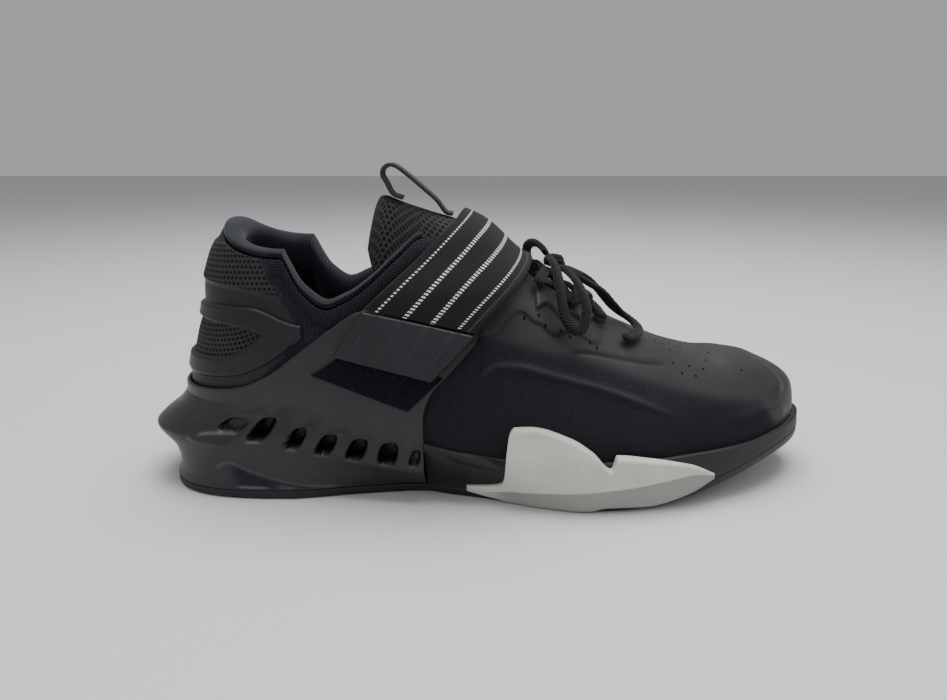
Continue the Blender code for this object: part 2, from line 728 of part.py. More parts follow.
def groove_cutter():
    """Bars across the underside: the gaps between the lugs."""
    shape = bmesh.new()
    bars = [0.10, 0.155, 0.21, 0.60, 0.648, 0.696]
    for share in bars:
        x = x_at(share)
        slant = 0.010 if share > 0.5 else 0.0
        half = BALL_WIDTH * 0.70
        for_side = []
        for y, shift in ((-half, -slant), (half, slant)):
            for z in (-0.004, GROOVE_DEPTH):
                for push in (-GROOVE_WIDTH / 2, GROOVE_WIDTH / 2):
                    for_side.append(shape.verts.new(shifted((x + shift + push, y, z))))
        a = for_side
        faces = ((0, 1, 3, 2), (4, 6, 7, 5), (0, 2, 6, 4), (1, 5, 7, 3), (0, 4, 5, 1), (2, 3, 7, 6))
        for face in faces:
            shape.faces.new([a[i] for i in face])
    return cutter("groove_cutter", shape)


def midsole_columns(side):
    columns = side_columns(side, FRAME_FRONT, TOE_START, 12)
    columns[0] = Column(side, x=x_at(FRAME_FRONT) + CLEARANCE)
    return columns + toe_columns(side)


def rand_height(x):
    """Top of the sole's wall along the forefoot."""
    return HEEL_BED_HEIGHT * floor("side", x)


def make_midsole():
    """The forefoot foam with its low wall round the upper's foot."""
    def outer_rows(column):
        low = sole_top(column.x) + CLEARANCE
        high = rand_height(column.x)
        return [wall_point(column, mix(low, high, k / 4), 0.0) for k in range(5)]

    def inner_rows(column):
        high = rand_height(column.x)
        bed = column.foot_height()
        points = []
        for share in (1.0, 0.5, 0.0):
            z = max(mix(bed + CLEARANCE, high, share), bed + CLEARANCE)
            p = column.point(z, CLEARANCE)
            points.append(p)
        foot = points[-1]
        points.append(Vector((foot[0], foot[1], bed)))
        return points

    stations = list(reversed(paired(midsole_columns)))
    return cup("midsole", stations, outer_rows, inner_rows, ("across", "flat"))


def wall_point(column, z, lift):
    """Outside of the midsole's wall and of the upper above it, moved out by lift."""
    low = sole_top(column.x) + CLEARANCE
    high = rand_height(column.x)
    share = min((z - low) / (high - low), 1.0)
    x, y = column.outline(1.0, 0.0, 0.0)
    above = ease((z - high) / (0.4 * HEEL_BED_HEIGHT))
    wall = mix(CLEARANCE + MIDSOLE_WALL, 0.0, above)
    foot = column.point(max(z, column.foot_height() + CLEARANCE), wall + lift)
    blend = ease(max(share, 0.0))
    return Vector((mix(x, foot[0], blend), mix(y + column.side * lift, foot[1], blend), z))


def make_forefoot_wrap():
    """The pale rubber flange on the outer side of the forefoot."""
    rows = 5
    loops = []
    shares = []
    for (start, steps), (end, after) in zip(WRAP_RUNS, WRAP_RUNS[1:]):
        shares += [mix(start, end, i / steps) for i in range(steps)]
    shares.append(WRAP_RUNS[-1][0])
    for share in shares:
        column = side_or_toe_column(OUTER_SIDE, share)
        low = max(HEEL_BED_HEIGHT * read(WRAP, "along", "low", share), 0.0002)
        high = HEEL_BED_HEIGHT * read(WRAP, "along", "high", share)
        heights = [mix(low, high, k / rows) for k in range(rows + 1)]
        along = (share - WRAP[0].along) / (WRAP[-1].along - WRAP[0].along)
        thick = WRAP_THICKNESS * (0.35 + 0.65 * math.sin(math.pi * min(max(along, 0.04), 0.96)))
        inside = [wall_point(column, z, OVERLAY_GAP) for z in heights]
        outside = [wall_point(column, z, OVERLAY_GAP + thick) for z in heights]
        loops.append(outside + list(reversed(inside)))
    return loft("forefoot_wrap", loops)


def side_or_toe_column(side, share):
    """The column at a station, before or after the start of the toe."""
    if share <= TOE_START:
        return Column(side, x=x_at(share))
    return Column(side, toe=math.asin((share - TOE_START) / (TOE_TIP - TOE_START)))


def make_insole():
    """The foot bed on the sole, inside the upper's wall."""
    def rows(column):
        low = column.foot_height() + CLEARANCE
        inset = -(UPPER_WALL + 2 * CLEARANCE)
        foot = column.point(low, inset)
        top = column.point(low + INSOLE_THICKNESS, inset)
        return [Vector((foot[0], foot[1], low)), Vector((top[0], top[1], low + INSOLE_THICKNESS))]

    def no_rows(column):
        return []

    def columns(side):
        return ankle_columns(side) + side_columns(side, FRAME_FRONT, TOE_START, 8)[1:] + toe_columns(side)

    return cup("insole", list(reversed(paired(columns))), rows, no_rows, ("across", "folded"))


def pad_thickness(column):
    """The collar's padding thins towards the throat."""
    if column.angle is not None:
        return COLLAR_PAD
    return COLLAR_PAD * mix(1.0, 0.42, ease((share_at(column.x) - 0.30) / (FRAME_FRONT - 0.30)))


def make_collar():
    """The padded knit ring inside the upper's top edge, rolled over its rim."""
    seat = UPPER_WALL + CLEARANCE
    loops = []
    ring = list(reversed(ankle_columns(OUTER_SIDE))) + ankle_columns(INNER_SIDE)[1:]
    for column in ring:
        edge = column.edge_height()
        pad = pad_thickness(column)
        profile = (
            (-COLLAR_DEPTH, seat), (-COLLAR_DEPTH * 0.5, seat), (-CLEARANCE, seat), (2 * CLEARANCE, seat),
            (2 * CLEARANCE + 0.0004, 0.0006), (COLLAR_ROLL * 0.65, 0.0004), (COLLAR_ROLL, seat + 0.2 * pad),
            (COLLAR_ROLL * 0.85, seat + 0.65 * pad), (0.0, seat + pad), (-COLLAR_DEPTH * 0.5, seat + pad),
            (-COLLAR_DEPTH * 0.9, seat + 0.55 * pad),
        )
        loops.append([column.point(edge + rise, -inset) for rise, inset in profile])
    return loft("collar", loops)


def over(x, y, lift):
    """A point above the body at a plan position measured from the last's axis."""
    centre, half, foot, rise = arch(x)
    share = min(abs(y - centre) / half, 1.0)
    z = foot + rise * (1 - share ** ARCH_ROUNDNESS) ** (1 / ARCH_ROUNDNESS)
    surface = Vector((x, y, z))
    return surface + outward(surface) * lift


def make_tongue():
    """The padded tongue under the throat, rising behind the strap."""
    top = -(UPPER_WALL + 2 * CLEARANCE)
    across = 8
    steps = 18
    loops = []
    for i in range(steps + 1):
        share = mix(TONGUE[0].along, TONGUE[-1].along, (i / steps) ** 1.3)
        x = x_at(share)
        centre = arch(x)[0]
        half = BALL_WIDTH * read(TONGUE, "along", "half", share)
        ys = [centre + half * math.sin(math.radians(90 * (2 * k / across - 1))) for k in range(across + 1)]
        thin = [1 - 0.55 * abs(2 * k / across - 1) ** 3 for k in range(across + 1)]
        drop = INSTEP_HEIGHT * read(TONGUE, "along", "drop", share)
        drops = [Vector((0.0, 0.0, drop * ((y - centre) / half) ** 2)) for y in ys]
        sweep = TONGUE_SWEEP * (1 - ease((share - TONGUE[0].along) / 0.05))
        xs = [x - sweep * abs((y - centre) / half) ** 1.5 for y in ys]
        upper_row = [over(px, y, top) - down for px, y, down in zip(xs, ys, drops)]
        lower_row = [
            over(px, y, top - TONGUE_THICKNESS * t) - down for px, y, t, down in zip(xs, ys, thin, drops)
        ]
        loops.append(upper_row + list(reversed(lower_row)))
    return loft("tongue", loops)


def make_heel_counter():
    """The moulded overlay round the heel, with a leaf-shaped window across its back."""
    def half(side):
        return heel_columns(side, 12) + side_columns(side, HEEL_CENTRE, COUNTER_FRONT, 3)

    columns = list(reversed(half(OUTER_SIDE))) + half(INNER_SIDE)[1:]
    lows = []
    highs = []
    for column in columns:
        x = column.point(INSTEP_HEIGHT * LEAF_HEIGHT)[0]
        turn = 1.0 if column.angle is None else column.angle / math.radians(90)
        top = mix(COUNTER_TOP[0], COUNTER_TOP[1], ease(turn / 0.6))
        top = mix(top, COUNTER_TOP[2], ease((share_at(x) - 0.18) / (COUNTER_FRONT - 0.18)))
        highs.append(INSTEP_HEIGHT * top)
        lows.append(min(lip_height(x) + COUNTER_RISE, INSTEP_HEIGHT * top - 0.004))
    counter = patch("heel_counter", columns, lows, highs, CLEARANCE, CLEARANCE + COUNTER_WALL)
    cut(counter, leaf_cutter())
    return counter


def leaf_cutter():
    """A prism along the shoe whose section is a pointed leaf."""
    shape = bmesh.new()
    z = INSTEP_HEIGHT * LEAF_HEIGHT
    outline = []
    for sign in (1, -1):
        for k in range(8):
            across = -1 + 2 * k / 8
            up = LEAF_HALF_HEIGHT * (1 - across * across)
            rise = sign * up + 0.20 * abs(across) * LEAF_HALF_WIDTH
            outline.append((sign * across * LEAF_HALF_WIDTH, z + rise))
    ends = []
    for x in (x_at(-0.05), x_at(0.195)):
        ends.append([shape.verts.new(shifted((x, y, height))) for y, height in outline])
    shape.faces.new(ends[0])
    shape.faces.new(list(reversed(ends[1])))
    count = len(outline)
    for k in range(count):
        after = (k + 1) % count
        shape.faces.new((ends[0][k], ends[1][k], ends[1][after], ends[0][after]))
    return cutter("leaf_cutter", shape)


def strap_lift(z):
    """The strap lies on the frame's wing and tab low down, and on the tongue at the top."""
    return mix(STRAP_LOW_LIFT, STRAP_TOP_LIFT, ease((z / INSTEP_HEIGHT - 0.74) / 0.16))


def strap_point(side, low, across, climb, lift):
    """A point of the strap: across from its rear edge to its front edge, climb from its end to the top."""
    rear, front = low
    x_low = x_at(mix(rear[0], front[0], across))
    z_low = INSTEP_HEIGHT * mix(rear[1], front[1], across)
    x_top = x_at(mix(STRAP_TOP[0], STRAP_TOP[1], across))
    turn = math.sin(math.radians(90 * climb))
    x = mix(x_low, x_top, turn)
    centre, half, foot, rise = arch(x_top)
    z = mix(z_low, foot + rise, turn)
    column = Column(side, x=x)
    if climb > 0.999:
        return over(x_top, centre, strap_lift(z) + lift)
    return column.point(z, strap_lift(z) + lift)


def make_strap():
    """The wide webbing strap over the instep."""
    across = 6
    climb = 10
    outer_low = ((TAB.high_rear[0], TAB.high_rear[1] + 0.005), (TAB.high_front[0], TAB.high_front[1] + 0.005))
    route = [(OUTER_SIDE, outer_low, i / climb) for i in range(climb + 1)]
    route += [(INNER_SIDE, STRAP_INNER_LOW, 1 - i / climb) for i in range(1, climb + 1)]
    loops = []
    for side, low, rise in route:
        outside = [strap_point(side, low, k / across, rise, STRAP_THICKNESS) for k in range(across + 1)]
        inside = [strap_point(side, low, k / across, rise, 0.0) for k in range(across + 1)]
        loops.append(outside + list(reversed(inside)))
    return loft("strap", loops)


def side_patch(name, side, corners, inner, outer, across=7, up=5):
    """A shell over the body's side between four side-view corners."""
    loops = []
    for i in range(across + 1):
        t = i / across
        low = [mix(corners.low_rear[a], corners.low_front[a], t) for a in range(2)]
        high = [mix(corners.high_rear[a], corners.high_front[a], t) for a in range(2)]
        outside = []
        inside = []
        for k in range(up + 1):
            x = x_at(mix(low[0], high[0], k / up))
            z = INSTEP_HEIGHT * mix(low[1], high[1], k / up)
            outside.append(Column(side, x=x).point(z, outer))
            inside.append(Column(side, x=x).point(z, inner))
        loops.append(outside + list(reversed(inside)))
    return loft(name, loops)


def make_strap_tab():
    return side_patch("strap_tab", OUTER_SIDE, TAB, STRAP_LOW_LIFT, STRAP_LOW_LIFT + TAB_THICKNESS)


def make_hook_patch():
    seat = 2 * CLEARANCE + FRAME_WALL
    return side_patch("hook_patch", OUTER_SIDE, PATCH, seat, seat + PATCH_THICKNESS)


def smooth_path(points, steps):
    """A Catmull-Rom curve through points, evenly sampled between them."""
    points = [Vector(point) for point in points]
    ends = [2 * points[0] - points[1]] + points + [2 * points[-1] - points[-2]]
    path = []
    for i in range(1, len(ends) - 2):
        a, b, c, d = ends[i - 1:i + 3]
        for k in range(steps):
            t = k / steps
            curve = (2 * a - 5 * b + 4 * c - d) * t * t + (3 * b - a - 3 * c + d) * t ** 3
            path.append(0.5 * (2 * b + (c - a) * t + curve))
    path.append(points[-1])
    return path


def make_pull_loop():
    """The webbing loop that stands on the tongue's top."""
    centre = arch(x_at(LOOP_FRONT_SEAT[0]))[0]
    seat = LOOP_THICKNESS / 2 - UPPER_WALL
    front = [over(x_at(share), centre, seat) for share in LOOP_FRONT_SEAT]
    rear = [over(x_at(share), centre, seat) for share in LOOP_REAR_SEAT]
    rise = [(x_at(along), centre, INSTEP_HEIGHT * height) for along, height in LOOP_PATH]
    path = smooth_path(front + rise + rear, 3)
    loops = []
    for i, point in enumerate(path):
        ahead = path[min(i + 1, len(path) - 1)] - path[max(i - 1, 0)]
        normal = Vector((-ahead[2], 0.0, ahead[0])).normalized() * LOOP_THICKNESS / 2
        across = Vector((0.0, LOOP_WIDTH / 2, 0.0))
        loops.append([
            point + normal - across, point + normal + across, point - normal + across, point - normal - across,
        ])
    return loft("pull_loop", loops)


def make_eyestay(side, name):
    """A facing beside the throat, with a scalloped lower edge."""
    columns = side_columns(side, 0.580, 0.690, 12)
    loops = []
    rows = 3
    for i, column in enumerate(columns):
        centre, half, foot, rise = arch(column.x)
        high_y = half * (1 - body("edge", column.x) ** ARCH_ROUNDNESS) ** (1 / ARCH_ROUNDNESS) + 0.0004
        low_y = high_y + 0.011 + 0.0016 * math.cos(math.tau * i / 4)
        ys = [centre + side * mix(high_y, low_y, k / rows) for k in range(rows + 1)]
        outside = [over(column.x, y, OVERLAY_GAP + EYESTAY_WALL) for y in ys]
        inside = [over(column.x, y, OVERLAY_GAP) for y in ys]
        loops.append(outside + list(reversed(inside)))
    return loft(name, loops)


def tube(name, path, radius, sides=6):
    """A round bar along a path, with flat ends."""
    loops = []
    up = Vector((0.0, 0.0, 1.0))
    for i, point in enumerate(path):
        ahead = (path[min(i + 1, len(path) - 1)] - path[max(i - 1, 0)]).normalized()
        across = ahead.cross(up).normalized()
        lift = across.cross(ahead)
        turns = [math.tau * k / sides for k in range(sides)]
        loops.append([point + (across * math.cos(a) + lift * math.sin(a)) * radius for a in turns])
    return loft(name, loops)


def make_lace_crossings():
    """The crossings of the lace in front of the strap, joined where they cross."""
    lift = OVERLAY_GAP + EYESTAY_WALL + CLEARANCE + LACE_DIAMETER / 2
    bars = []
    for first, name in ((OUTER_SIDE, "lace_crossings"), (INNER_SIDE, "lace_bar_tool")):
        places = []
        side = first
        for eyelet in EYELETS:
            x = x_at(eyelet.along)
            places.append((x, arch(x)[0] + side * eyelet.spread * BALL_WIDTH))
            side = -side
        path = []
        for (x0, y0), (x1, y1) in zip(places, places[1:]):
            for k in range(6):
                sag = CROSSING_SAG * ease((min(k, 6 - k) / 6 - 0.2) / 0.3)
                path.append(over(mix(x0, x1, k / 6), mix(y0, y1, k / 6), lift - sag))
        path.append(over(places[-1][0], places[-1][1], lift))
        bars.append(tube(name, path, LACE_DIAMETER / 2))
    bars[1].hide_render = True
    bars[1].display_type = "WIRE"
    join = bars[0].modifiers.new("join", "BOOLEAN")
    join.operation = "UNION"
    join.object = bars[1]
    return bars[0]


def lace_point(place):
    along, across, lift = place
    x = x_at(along)
    return over(x, arch(x)[0] + across * BALL_WIDTH, lift * LACE_DIAMETER)


def make_lace_cord(name, places):
    """A free stretch of lace, as a round cord through its places."""
    path = smooth_path([lace_point(place) for place in places], 2)
    curve = bpy.data.curves.new(name, "CURVE")
    curve.dimensions = "3D"
    curve.bevel_depth = LACE_DIAMETER / 2
    curve.bevel_resolution = 2
    curve.use_fill_caps = True
    curve.render_resolution_u = 0
    spline = curve.splines.new("POLY")
    spline.points.add(len(path) - 1)
    for target, point in zip(spline.points, path):
        target.co = (*shifted(point), 1.0)
    return place(name, curve)


def make_lace_knot():
    """The bow's knot, above the first crossing."""
    shape = bmesh.new()
    bmesh.ops.create_uvsphere(shape, u_segments=12, v_segments=8, radius=LACE_DIAMETER / 2)
    at = Vector(shifted(lace_point(KNOT)))
    for vert in shape.verts:
        vert.co = Vector([size * scale for size, scale in zip(vert.co, KNOT_SCALE)]) + at
    return finish_mesh("lace_knot", shape)


def main():
    clear_scene()
    make_outsole()
    make_heel_frame()
    make_midsole()
    make_upper()
    make_insole()
    make_collar()
    make_tongue()
    make_heel_counter()
    make_forefoot_wrap()
    make_hook_patch()
    make_strap_tab()
    make_strap()
    make_pull_loop()
    make_eyestay(OUTER_SIDE, "eyestay_outer")
    make_eyestay(INNER_SIDE, "eyestay_inner")
    make_lace_crossings()
    make_lace_knot()
    make_lace_cord("lace_loop_outer", LOOP_OUTER)
    make_lace_cord("lace_loop_inner", LOOP_INNER)
    make_lace_cord("lace_end_outer", END_OUTER)
    make_lace_cord("lace_end_inner", END_INNER)


main()
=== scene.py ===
"""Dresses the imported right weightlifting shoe: smooth surfaces, folds, laces and materials.

The surfaces repeat the body functions of the part's source, finer, in metres and in the same
frame: +X to the toe, +Y to the inner side of the foot, +Z up.
"""

import math
from collections import namedtuple

import bmesh
import bpy
import numpy as np
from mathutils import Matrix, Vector


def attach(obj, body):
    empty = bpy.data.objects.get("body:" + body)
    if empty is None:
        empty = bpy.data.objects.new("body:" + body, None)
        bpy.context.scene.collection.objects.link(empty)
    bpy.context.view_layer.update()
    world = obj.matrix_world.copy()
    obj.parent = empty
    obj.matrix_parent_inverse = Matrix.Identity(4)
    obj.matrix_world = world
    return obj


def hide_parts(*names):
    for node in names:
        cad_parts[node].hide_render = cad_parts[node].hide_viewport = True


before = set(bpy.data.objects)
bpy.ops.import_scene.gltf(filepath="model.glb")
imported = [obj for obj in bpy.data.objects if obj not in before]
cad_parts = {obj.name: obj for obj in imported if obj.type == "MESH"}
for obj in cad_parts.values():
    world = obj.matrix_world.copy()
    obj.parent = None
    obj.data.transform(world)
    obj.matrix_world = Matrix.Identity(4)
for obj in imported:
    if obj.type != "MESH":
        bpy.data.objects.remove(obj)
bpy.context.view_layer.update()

# Driving sizes, the same as the part's
LENGTH = 0.300
BALL_WIDTH = 0.108
HEEL_WIDTH = 0.088
HEEL_REACH = 0.050
INSTEP_HEIGHT = 0.118
REAR_COLLAR_HEIGHT = 0.1155
HEEL_BED_HEIGHT = 0.039
BALL_BED_HEIGHT = 0.0145
TOE_SPRING = 0.019
AXIS_OFFSET = 0.003
FORWARD_OFFSET = -0.0028

CLEARANCE = 0.0004
OVERLAY_GAP = 0.0009
UPPER_WALL = 0.0020
FRAME_WALL = 0.0018
COUNTER_WALL = 0.0014
OUTSOLE_THICKNESS = 0.0038
INSOLE_THICKNESS = 0.0040
COLLAR_PAD = 0.0080
COLLAR_ROLL = 0.0045
COLLAR_DEPTH = 0.0240
TONGUE_THICKNESS = 0.0045
TONGUE_SWEEP = 0.0056
EYESTAY_WALL = 0.0014
STRAP_THICKNESS = 0.0020
TAB_THICKNESS = 0.0030
PATCH_THICKNESS = 0.0012
LOOP_WIDTH = 0.009
LOOP_THICKNESS = 0.0018
LACE_DIAMETER = 0.0046
CROSSING_SAG = 0.0014
WRAP_THICKNESS = 0.0026
MIDSOLE_WALL = 0.0020
WINDOW_DEPTH = 0.006
WINDOW_WIDTH = 0.0078
WINDOW_HEIGHT = 0.0090
GROOVE_DEPTH = 0.0018

HEEL_ROUNDNESS = 2.25
ARCH_ROUNDNESS = 2.3
SOLE_ROUNDNESS = 2.8
TOE_CAP_ROUNDNESS = 5.0
HEEL_CENTRE = 0.2333
TOE_START = 0.700
TOE_TIP = 1.011
FRAME_FRONT = 0.425
SOLE_TIP = 1.0185
LAST_TOE_ANGLE = math.radians(86.0)
OUTER_SIDE = -1
INNER_SIDE = 1

# Sizes and places of fine forms that only the scene has
FLUTE_DEPTH = 0.0014
FLUTE_HEIGHT = 0.013
FACET_DEPTH = 0.0020
TREAD_DEPTH = 0.0016
SOLE_EDGE = 0.0012
PINHOLE_RADIUS = 0.00052
PINHOLE_LIFT = 0.0001
FLANGE_EDGE = 0.0016
FLANGE_HOLLOW = 0.0020
COUNTER_EDGE = 0.0014
EYESTAY_EDGE = 0.0012
EYESTAY_WIDTH = 0.011
STRAP_EDGE = 0.0006
STRAP_WIDTH = 0.034
STRAP_BINDING = 0.0004
TAB_RIB = 0.0009
LACE_RIBS = 0.00012
LACE_BRAID = 0.0016
CROSSING_RISE = 0.0011
KNIT_RIM = (0.205, 0.470)
KNIT_DEPTH = 0.0080
KNIT_ROLL = 0.0014

# Turn of the last line at the toe, close to the tip
TOE_END = 3.024

# Body sections: shares of BALL_WIDTH, of the bed's rise, of INSTEP_HEIGHT and of the arch
Section = namedtuple("Section", "along centre half bed top edge")
BODY = (
    Section(0.2333, -0.006, 0.338, 0.98, 1.407, 0.512),
    Section(0.2600, -0.007, 0.342, 0.90, 1.330, 0.438),
    Section(0.2833, -0.009, 0.347, 0.83, 1.271, 0.425),
    Section(0.3200, -0.012, 0.356, 0.72, 1.195, 0.500),
    Section(0.3550, -0.016, 0.366, 0.60, 1.130, 0.622),
    Section(0.3900, -0.020, 0.375, 0.48, 1.087, 0.757),
    Section(0.4233, -0.022, 0.385, 0.38, 1.058, 0.865),
    Section(0.5000, -0.023, 0.413, 0.20, 0.992, 0.925),
    Section(0.5733, -0.020, 0.443, 0.08, 0.828, 0.955),
    Section(0.6400, -0.016, 0.461, 0.02, 0.703, 0.980),
    Section(0.6930, -0.010, 0.459, 0.00, 0.627, 1.000),
    Section(0.7500, 0.000, 0.458, 0.04, 0.562, 1.000),
    Section(0.8000, 0.014, 0.458, 0.10, 0.512, 1.000),
    Section(0.8500, 0.028, 0.458, 0.15, 0.482, 1.000),
    Section(0.9000, 0.046, 0.458, 0.22, 0.466, 1.000),
    Section(0.9500, 0.064, 0.458, 0.32, 0.455, 1.000),
    Section(1.0000, 0.078, 0.458, 0.40, 0.430, 1.000),
)

# The heel's rear outline: height as a share of REAR_COLLAR_HEIGHT, reach of HEEL_REACH
Rear = namedtuple("Rear", "height reach")
REAR = (
    Rear(0.290, 1.060), Rear(0.388, 1.050), Rear(0.441, 1.030), Rear(0.597, 0.935),
    Rear(0.710, 0.850), Rear(0.776, 0.840), Rear(0.892, 0.760), Rear(0.970, 0.660), Rear(1.100, 0.480),
)

# Floor outline of the sole: shares of BALL_WIDTH, TOE_SPRING and HEEL_BED_HEIGHT
Floor = namedtuple("Floor", "along centre half spring rim side")
FLOOR = (
    Floor(0.0000, 0.000, 0.398, 0.00, 0.70, 1.20),
    Floor(0.1300, 0.000, 0.405, 0.00, 0.70, 1.20),
    Floor(0.2333, 0.000, 0.386, 0.00, 0.69, 1.10),
    Floor(0.3333, -0.004, 0.336, 0.00, 0.50, 0.90),
    Floor(0.4233, -0.012, 0.304, 0.00, 0.40, 0.72),
    Floor(0.4700, -0.022, 0.330, 0.00, 0.38, 0.64),
    Floor(0.5333, -0.022, 0.380, 0.00, 0.36, 0.58),
    Floor(0.5900, -0.019, 0.434, 0.00, 0.36, 0.56),
    Floor(0.6560, -0.015, 0.476, 0.00, 0.36, 0.56),
    Floor(0.7000, -0.008, 0.481, 0.02, 0.36, 0.57),
    Floor(0.7500, 0.002, 0.481, 0.10, 0.36, 0.58),
    Floor(0.8000, 0.012, 0.481, 0.24, 0.38, 0.60),
    Floor(0.8500, 0.026, 0.481, 0.44, 0.42, 0.61),
    Floor(0.9000, 0.041, 0.481, 0.66, 0.48, 0.62),
    Floor(0.9500, 0.056, 0.481, 0.84, 0.56, 0.66),
    Floor(1.0000, 0.066, 0.481, 0.95, 0.62, 0.70),
)

# The frame's side from the sole up: rise of the ledge, reach of HEEL_REACH, blend to the body
# and bulge of BALL_WIDTH
Level = namedtuple("Level", "rise reach blend bulge")
FRAME_LEVELS = (
    Level(0.165, 1.215, 0.00, 0.000),
    Level(0.360, 1.180, 0.15, 0.004),
    Level(0.660, 1.240, 0.50, 0.012),
    Level(0.930, 1.399, 0.85, 0.034),
    Level(1.060, 1.370, 0.95, 0.040),
    Level(1.330, 1.190, 1.00, 0.030),
)

# Top lip of the frame's wing
Lip = namedtuple("Lip", "along height")
LIP = (
    Lip(0.030, 0.385), Lip(0.120, 0.400), Lip(0.165, 0.420), Lip(0.205, 0.466), Lip(0.250, 0.548),
    Lip(0.295, 0.632), Lip(0.340, 0.700), Lip(0.400, 0.725), Lip(0.480, 0.690), Lip(0.600, 0.600),
)

# Windows of the frame: places as shares of LENGTH and INSTEP_HEIGHT, sizes and depths as shares of the
# window sizes, and how far the top leans forward for each unit of its rise
Window = namedtuple("Window", "along height wide tall deep lean")
WINDOWS = (
    Window(0.1530, 0.286, 1.45, 0.72, -0.30, 1.00),
    Window(0.1940, 0.272, 0.98, 1.12, 1.00, 0.74),
    Window(0.2420, 0.238, 0.84, 1.00, 1.00, 0.54),
    Window(0.2850, 0.217, 0.92, 1.00, 1.00, 0.52),
    Window(0.3290, 0.203, 0.98, 1.00, 1.00, 0.42),
    Window(0.3740, 0.193, 1.02, 1.00, 1.00, 0.22),
    Window(0.4125, 0.183, 0.54, 0.74, 0.00, 0.30),
)

# Side-view places as (share of LENGTH, share of INSTEP_HEIGHT)
WING_FRONT = ((0.425, 0.340), (0.432, 0.410), (0.468, 0.510), (0.500, 0.605))
Corners = namedtuple("Corners", "low_rear low_front high_rear high_front")
TAB = Corners((0.302, 0.550), (0.440, 0.468), (0.347, 0.708), (0.500, 0.628))
PATCH = Corners((0.268, 0.478), (0.405, 0.355), (0.318, 0.560), (0.455, 0.480))
STRAP_INNER_LOW = ((0.365, 0.560), (0.500, 0.490))
STRAP_TOP = (0.478, 0.573)
STRAP_LOW_LIFT = 0.0044
STRAP_TOP_LIFT = 0.0010

COUNTER_FRONT = 0.258
COUNTER_RISE = 0.005
COUNTER_TOP = (0.700, 0.715, 0.655)
LEAF_HALF_WIDTH = 0.034
LEAF_HALF_HEIGHT = 0.0075
LEAF_HEIGHT = 0.566

Tongue = namedtuple("Tongue", "along half drop")
TONGUE = (
    Tongue(0.366, 0.150, 0.170), Tongue(0.372, 0.180, 0.205), Tongue(0.385, 0.196, 0.190),
    Tongue(0.423, 0.170, 0.070), Tongue(0.480, 0.165, 0.000), Tongue(0.560, 0.185, 0.000),
    Tongue(0.640, 0.200, 0.000), Tongue(0.710, 0.190, 0.000),
)
LOOP_FRONT_SEAT = (0.466, 0.455)
LOOP_REAR_SEAT = (0.379, 0.393)
LOOP_PATH = (
    (0.441, 1.068), (0.421, 1.113), (0.400, 1.158), (0.383, 1.189),
    (0.372, 1.194), (0.3645, 1.180), (0.363, 1.157), (0.3685, 1.131),
)

# Lace routes over the shoe, as share of LENGTH, share of BALL_WIDTH to the inner side and lift in
# LACE_DIAMETER
KNOT = (0.598, 0.0, 1.90)
KNOT_SCALE = (2.4, 2.2, 1.1)
LOOP_OUTER = (
    (0.589, -0.050, 1.95), (0.588, -0.100, 2.20), (0.592, -0.150, 2.30), (0.598, -0.205, 2.15),
    (0.605, -0.255, 1.80), (0.614, -0.295, 1.50), (0.627, -0.308, 1.40), (0.637, -0.290, 1.55),
    (0.638, -0.245, 2.10), (0.630, -0.195, 2.40), (0.621, -0.145, 2.40), (0.613, -0.095, 2.20),
    (0.607, -0.050, 1.95),
)
LOOP_INNER = (
    (0.589, 0.050, 1.95), (0.580, 0.080, 2.25), (0.569, 0.120, 2.35), (0.563, 0.170, 2.15),
    (0.567, 0.220, 2.00), (0.582, 0.255, 1.90), (0.602, 0.262, 1.90), (0.614, 0.230, 2.25),
    (0.616, 0.180, 2.40), (0.613, 0.130, 2.40), (0.609, 0.085, 2.20), (0.607, 0.050, 1.95),
)
END_OUTER = (
    (0.6178, -0.025, 1.95), (0.632, -0.045, 2.15), (0.650, -0.060, 2.25), (0.672, -0.060, 2.20),
    (0.695, -0.040, 1.60), (0.715, -0.030, 1.05), (0.733, -0.060, 0.80), (0.738, -0.110, 0.68),
    (0.730, -0.165, 0.64), (0.716, -0.210, 0.64), (0.706, -0.225, 0.66),
)
END_INNER = (
    (0.6178, 0.025, 1.95), (0.630, 0.060, 2.20), (0.648, 0.105, 2.45), (0.668, 0.140, 2.45),
    (0.690, 0.170, 2.00), (0.712, 0.172, 1.25), (0.731, 0.145, 0.75), (0.744, 0.100, 0.64),
)

Flange = namedtuple("Flange", "along low high")
WRAP = (
    Flange(0.485, 0.09, 0.16), Flange(0.515, 0.05, 0.20), Flange(0.534, 0.03, 0.25),
    Flange(0.5385, 0.02, 0.32), Flange(0.5405, 0.02, 0.50), Flange(0.5425, 0.02, 0.72),
    Flange(0.5450, 0.02, 0.87), Flange(0.552, 0.02, 0.94), Flange(0.575, 0.01, 0.95),
    Flange(0.628, 0.01, 0.84), Flange(0.658, 0.02, 0.70), Flange(0.684, 0.06, 0.52),
    Flange(0.692, 0.06, 0.66), Flange(0.735, 0.06, 0.62), Flange(0.800, 0.17, 0.50),
    Flange(0.835, 0.30, 0.36),
)
Eyelet = namedtuple("Eyelet", "along spread")
EYELETS = (Eyelet(0.578, 0.215), Eyelet(0.628, 0.200), Eyelet(0.678, 0.180))


# Camera: the photograph's angle
CAMERA_PLACE = (-0.0043, -0.320, 0.147)
CAMERA_PITCH = math.radians(74.3)
CAMERA_LENS = 27.03


def make_camera():
    view = bpy.data.cameras.new("camera")
    view.lens = CAMERA_LENS
    view.clip_start = 0.01
    camera = bpy.data.objects.new("camera", view)
    camera.location = CAMERA_PLACE
    camera.rotation_euler = (CAMERA_PITCH, 0.0, 0.0)
    bpy.context.scene.collection.objects.link(camera)
    bpy.context.scene.camera = camera


make_camera()


# Body functions, on arrays

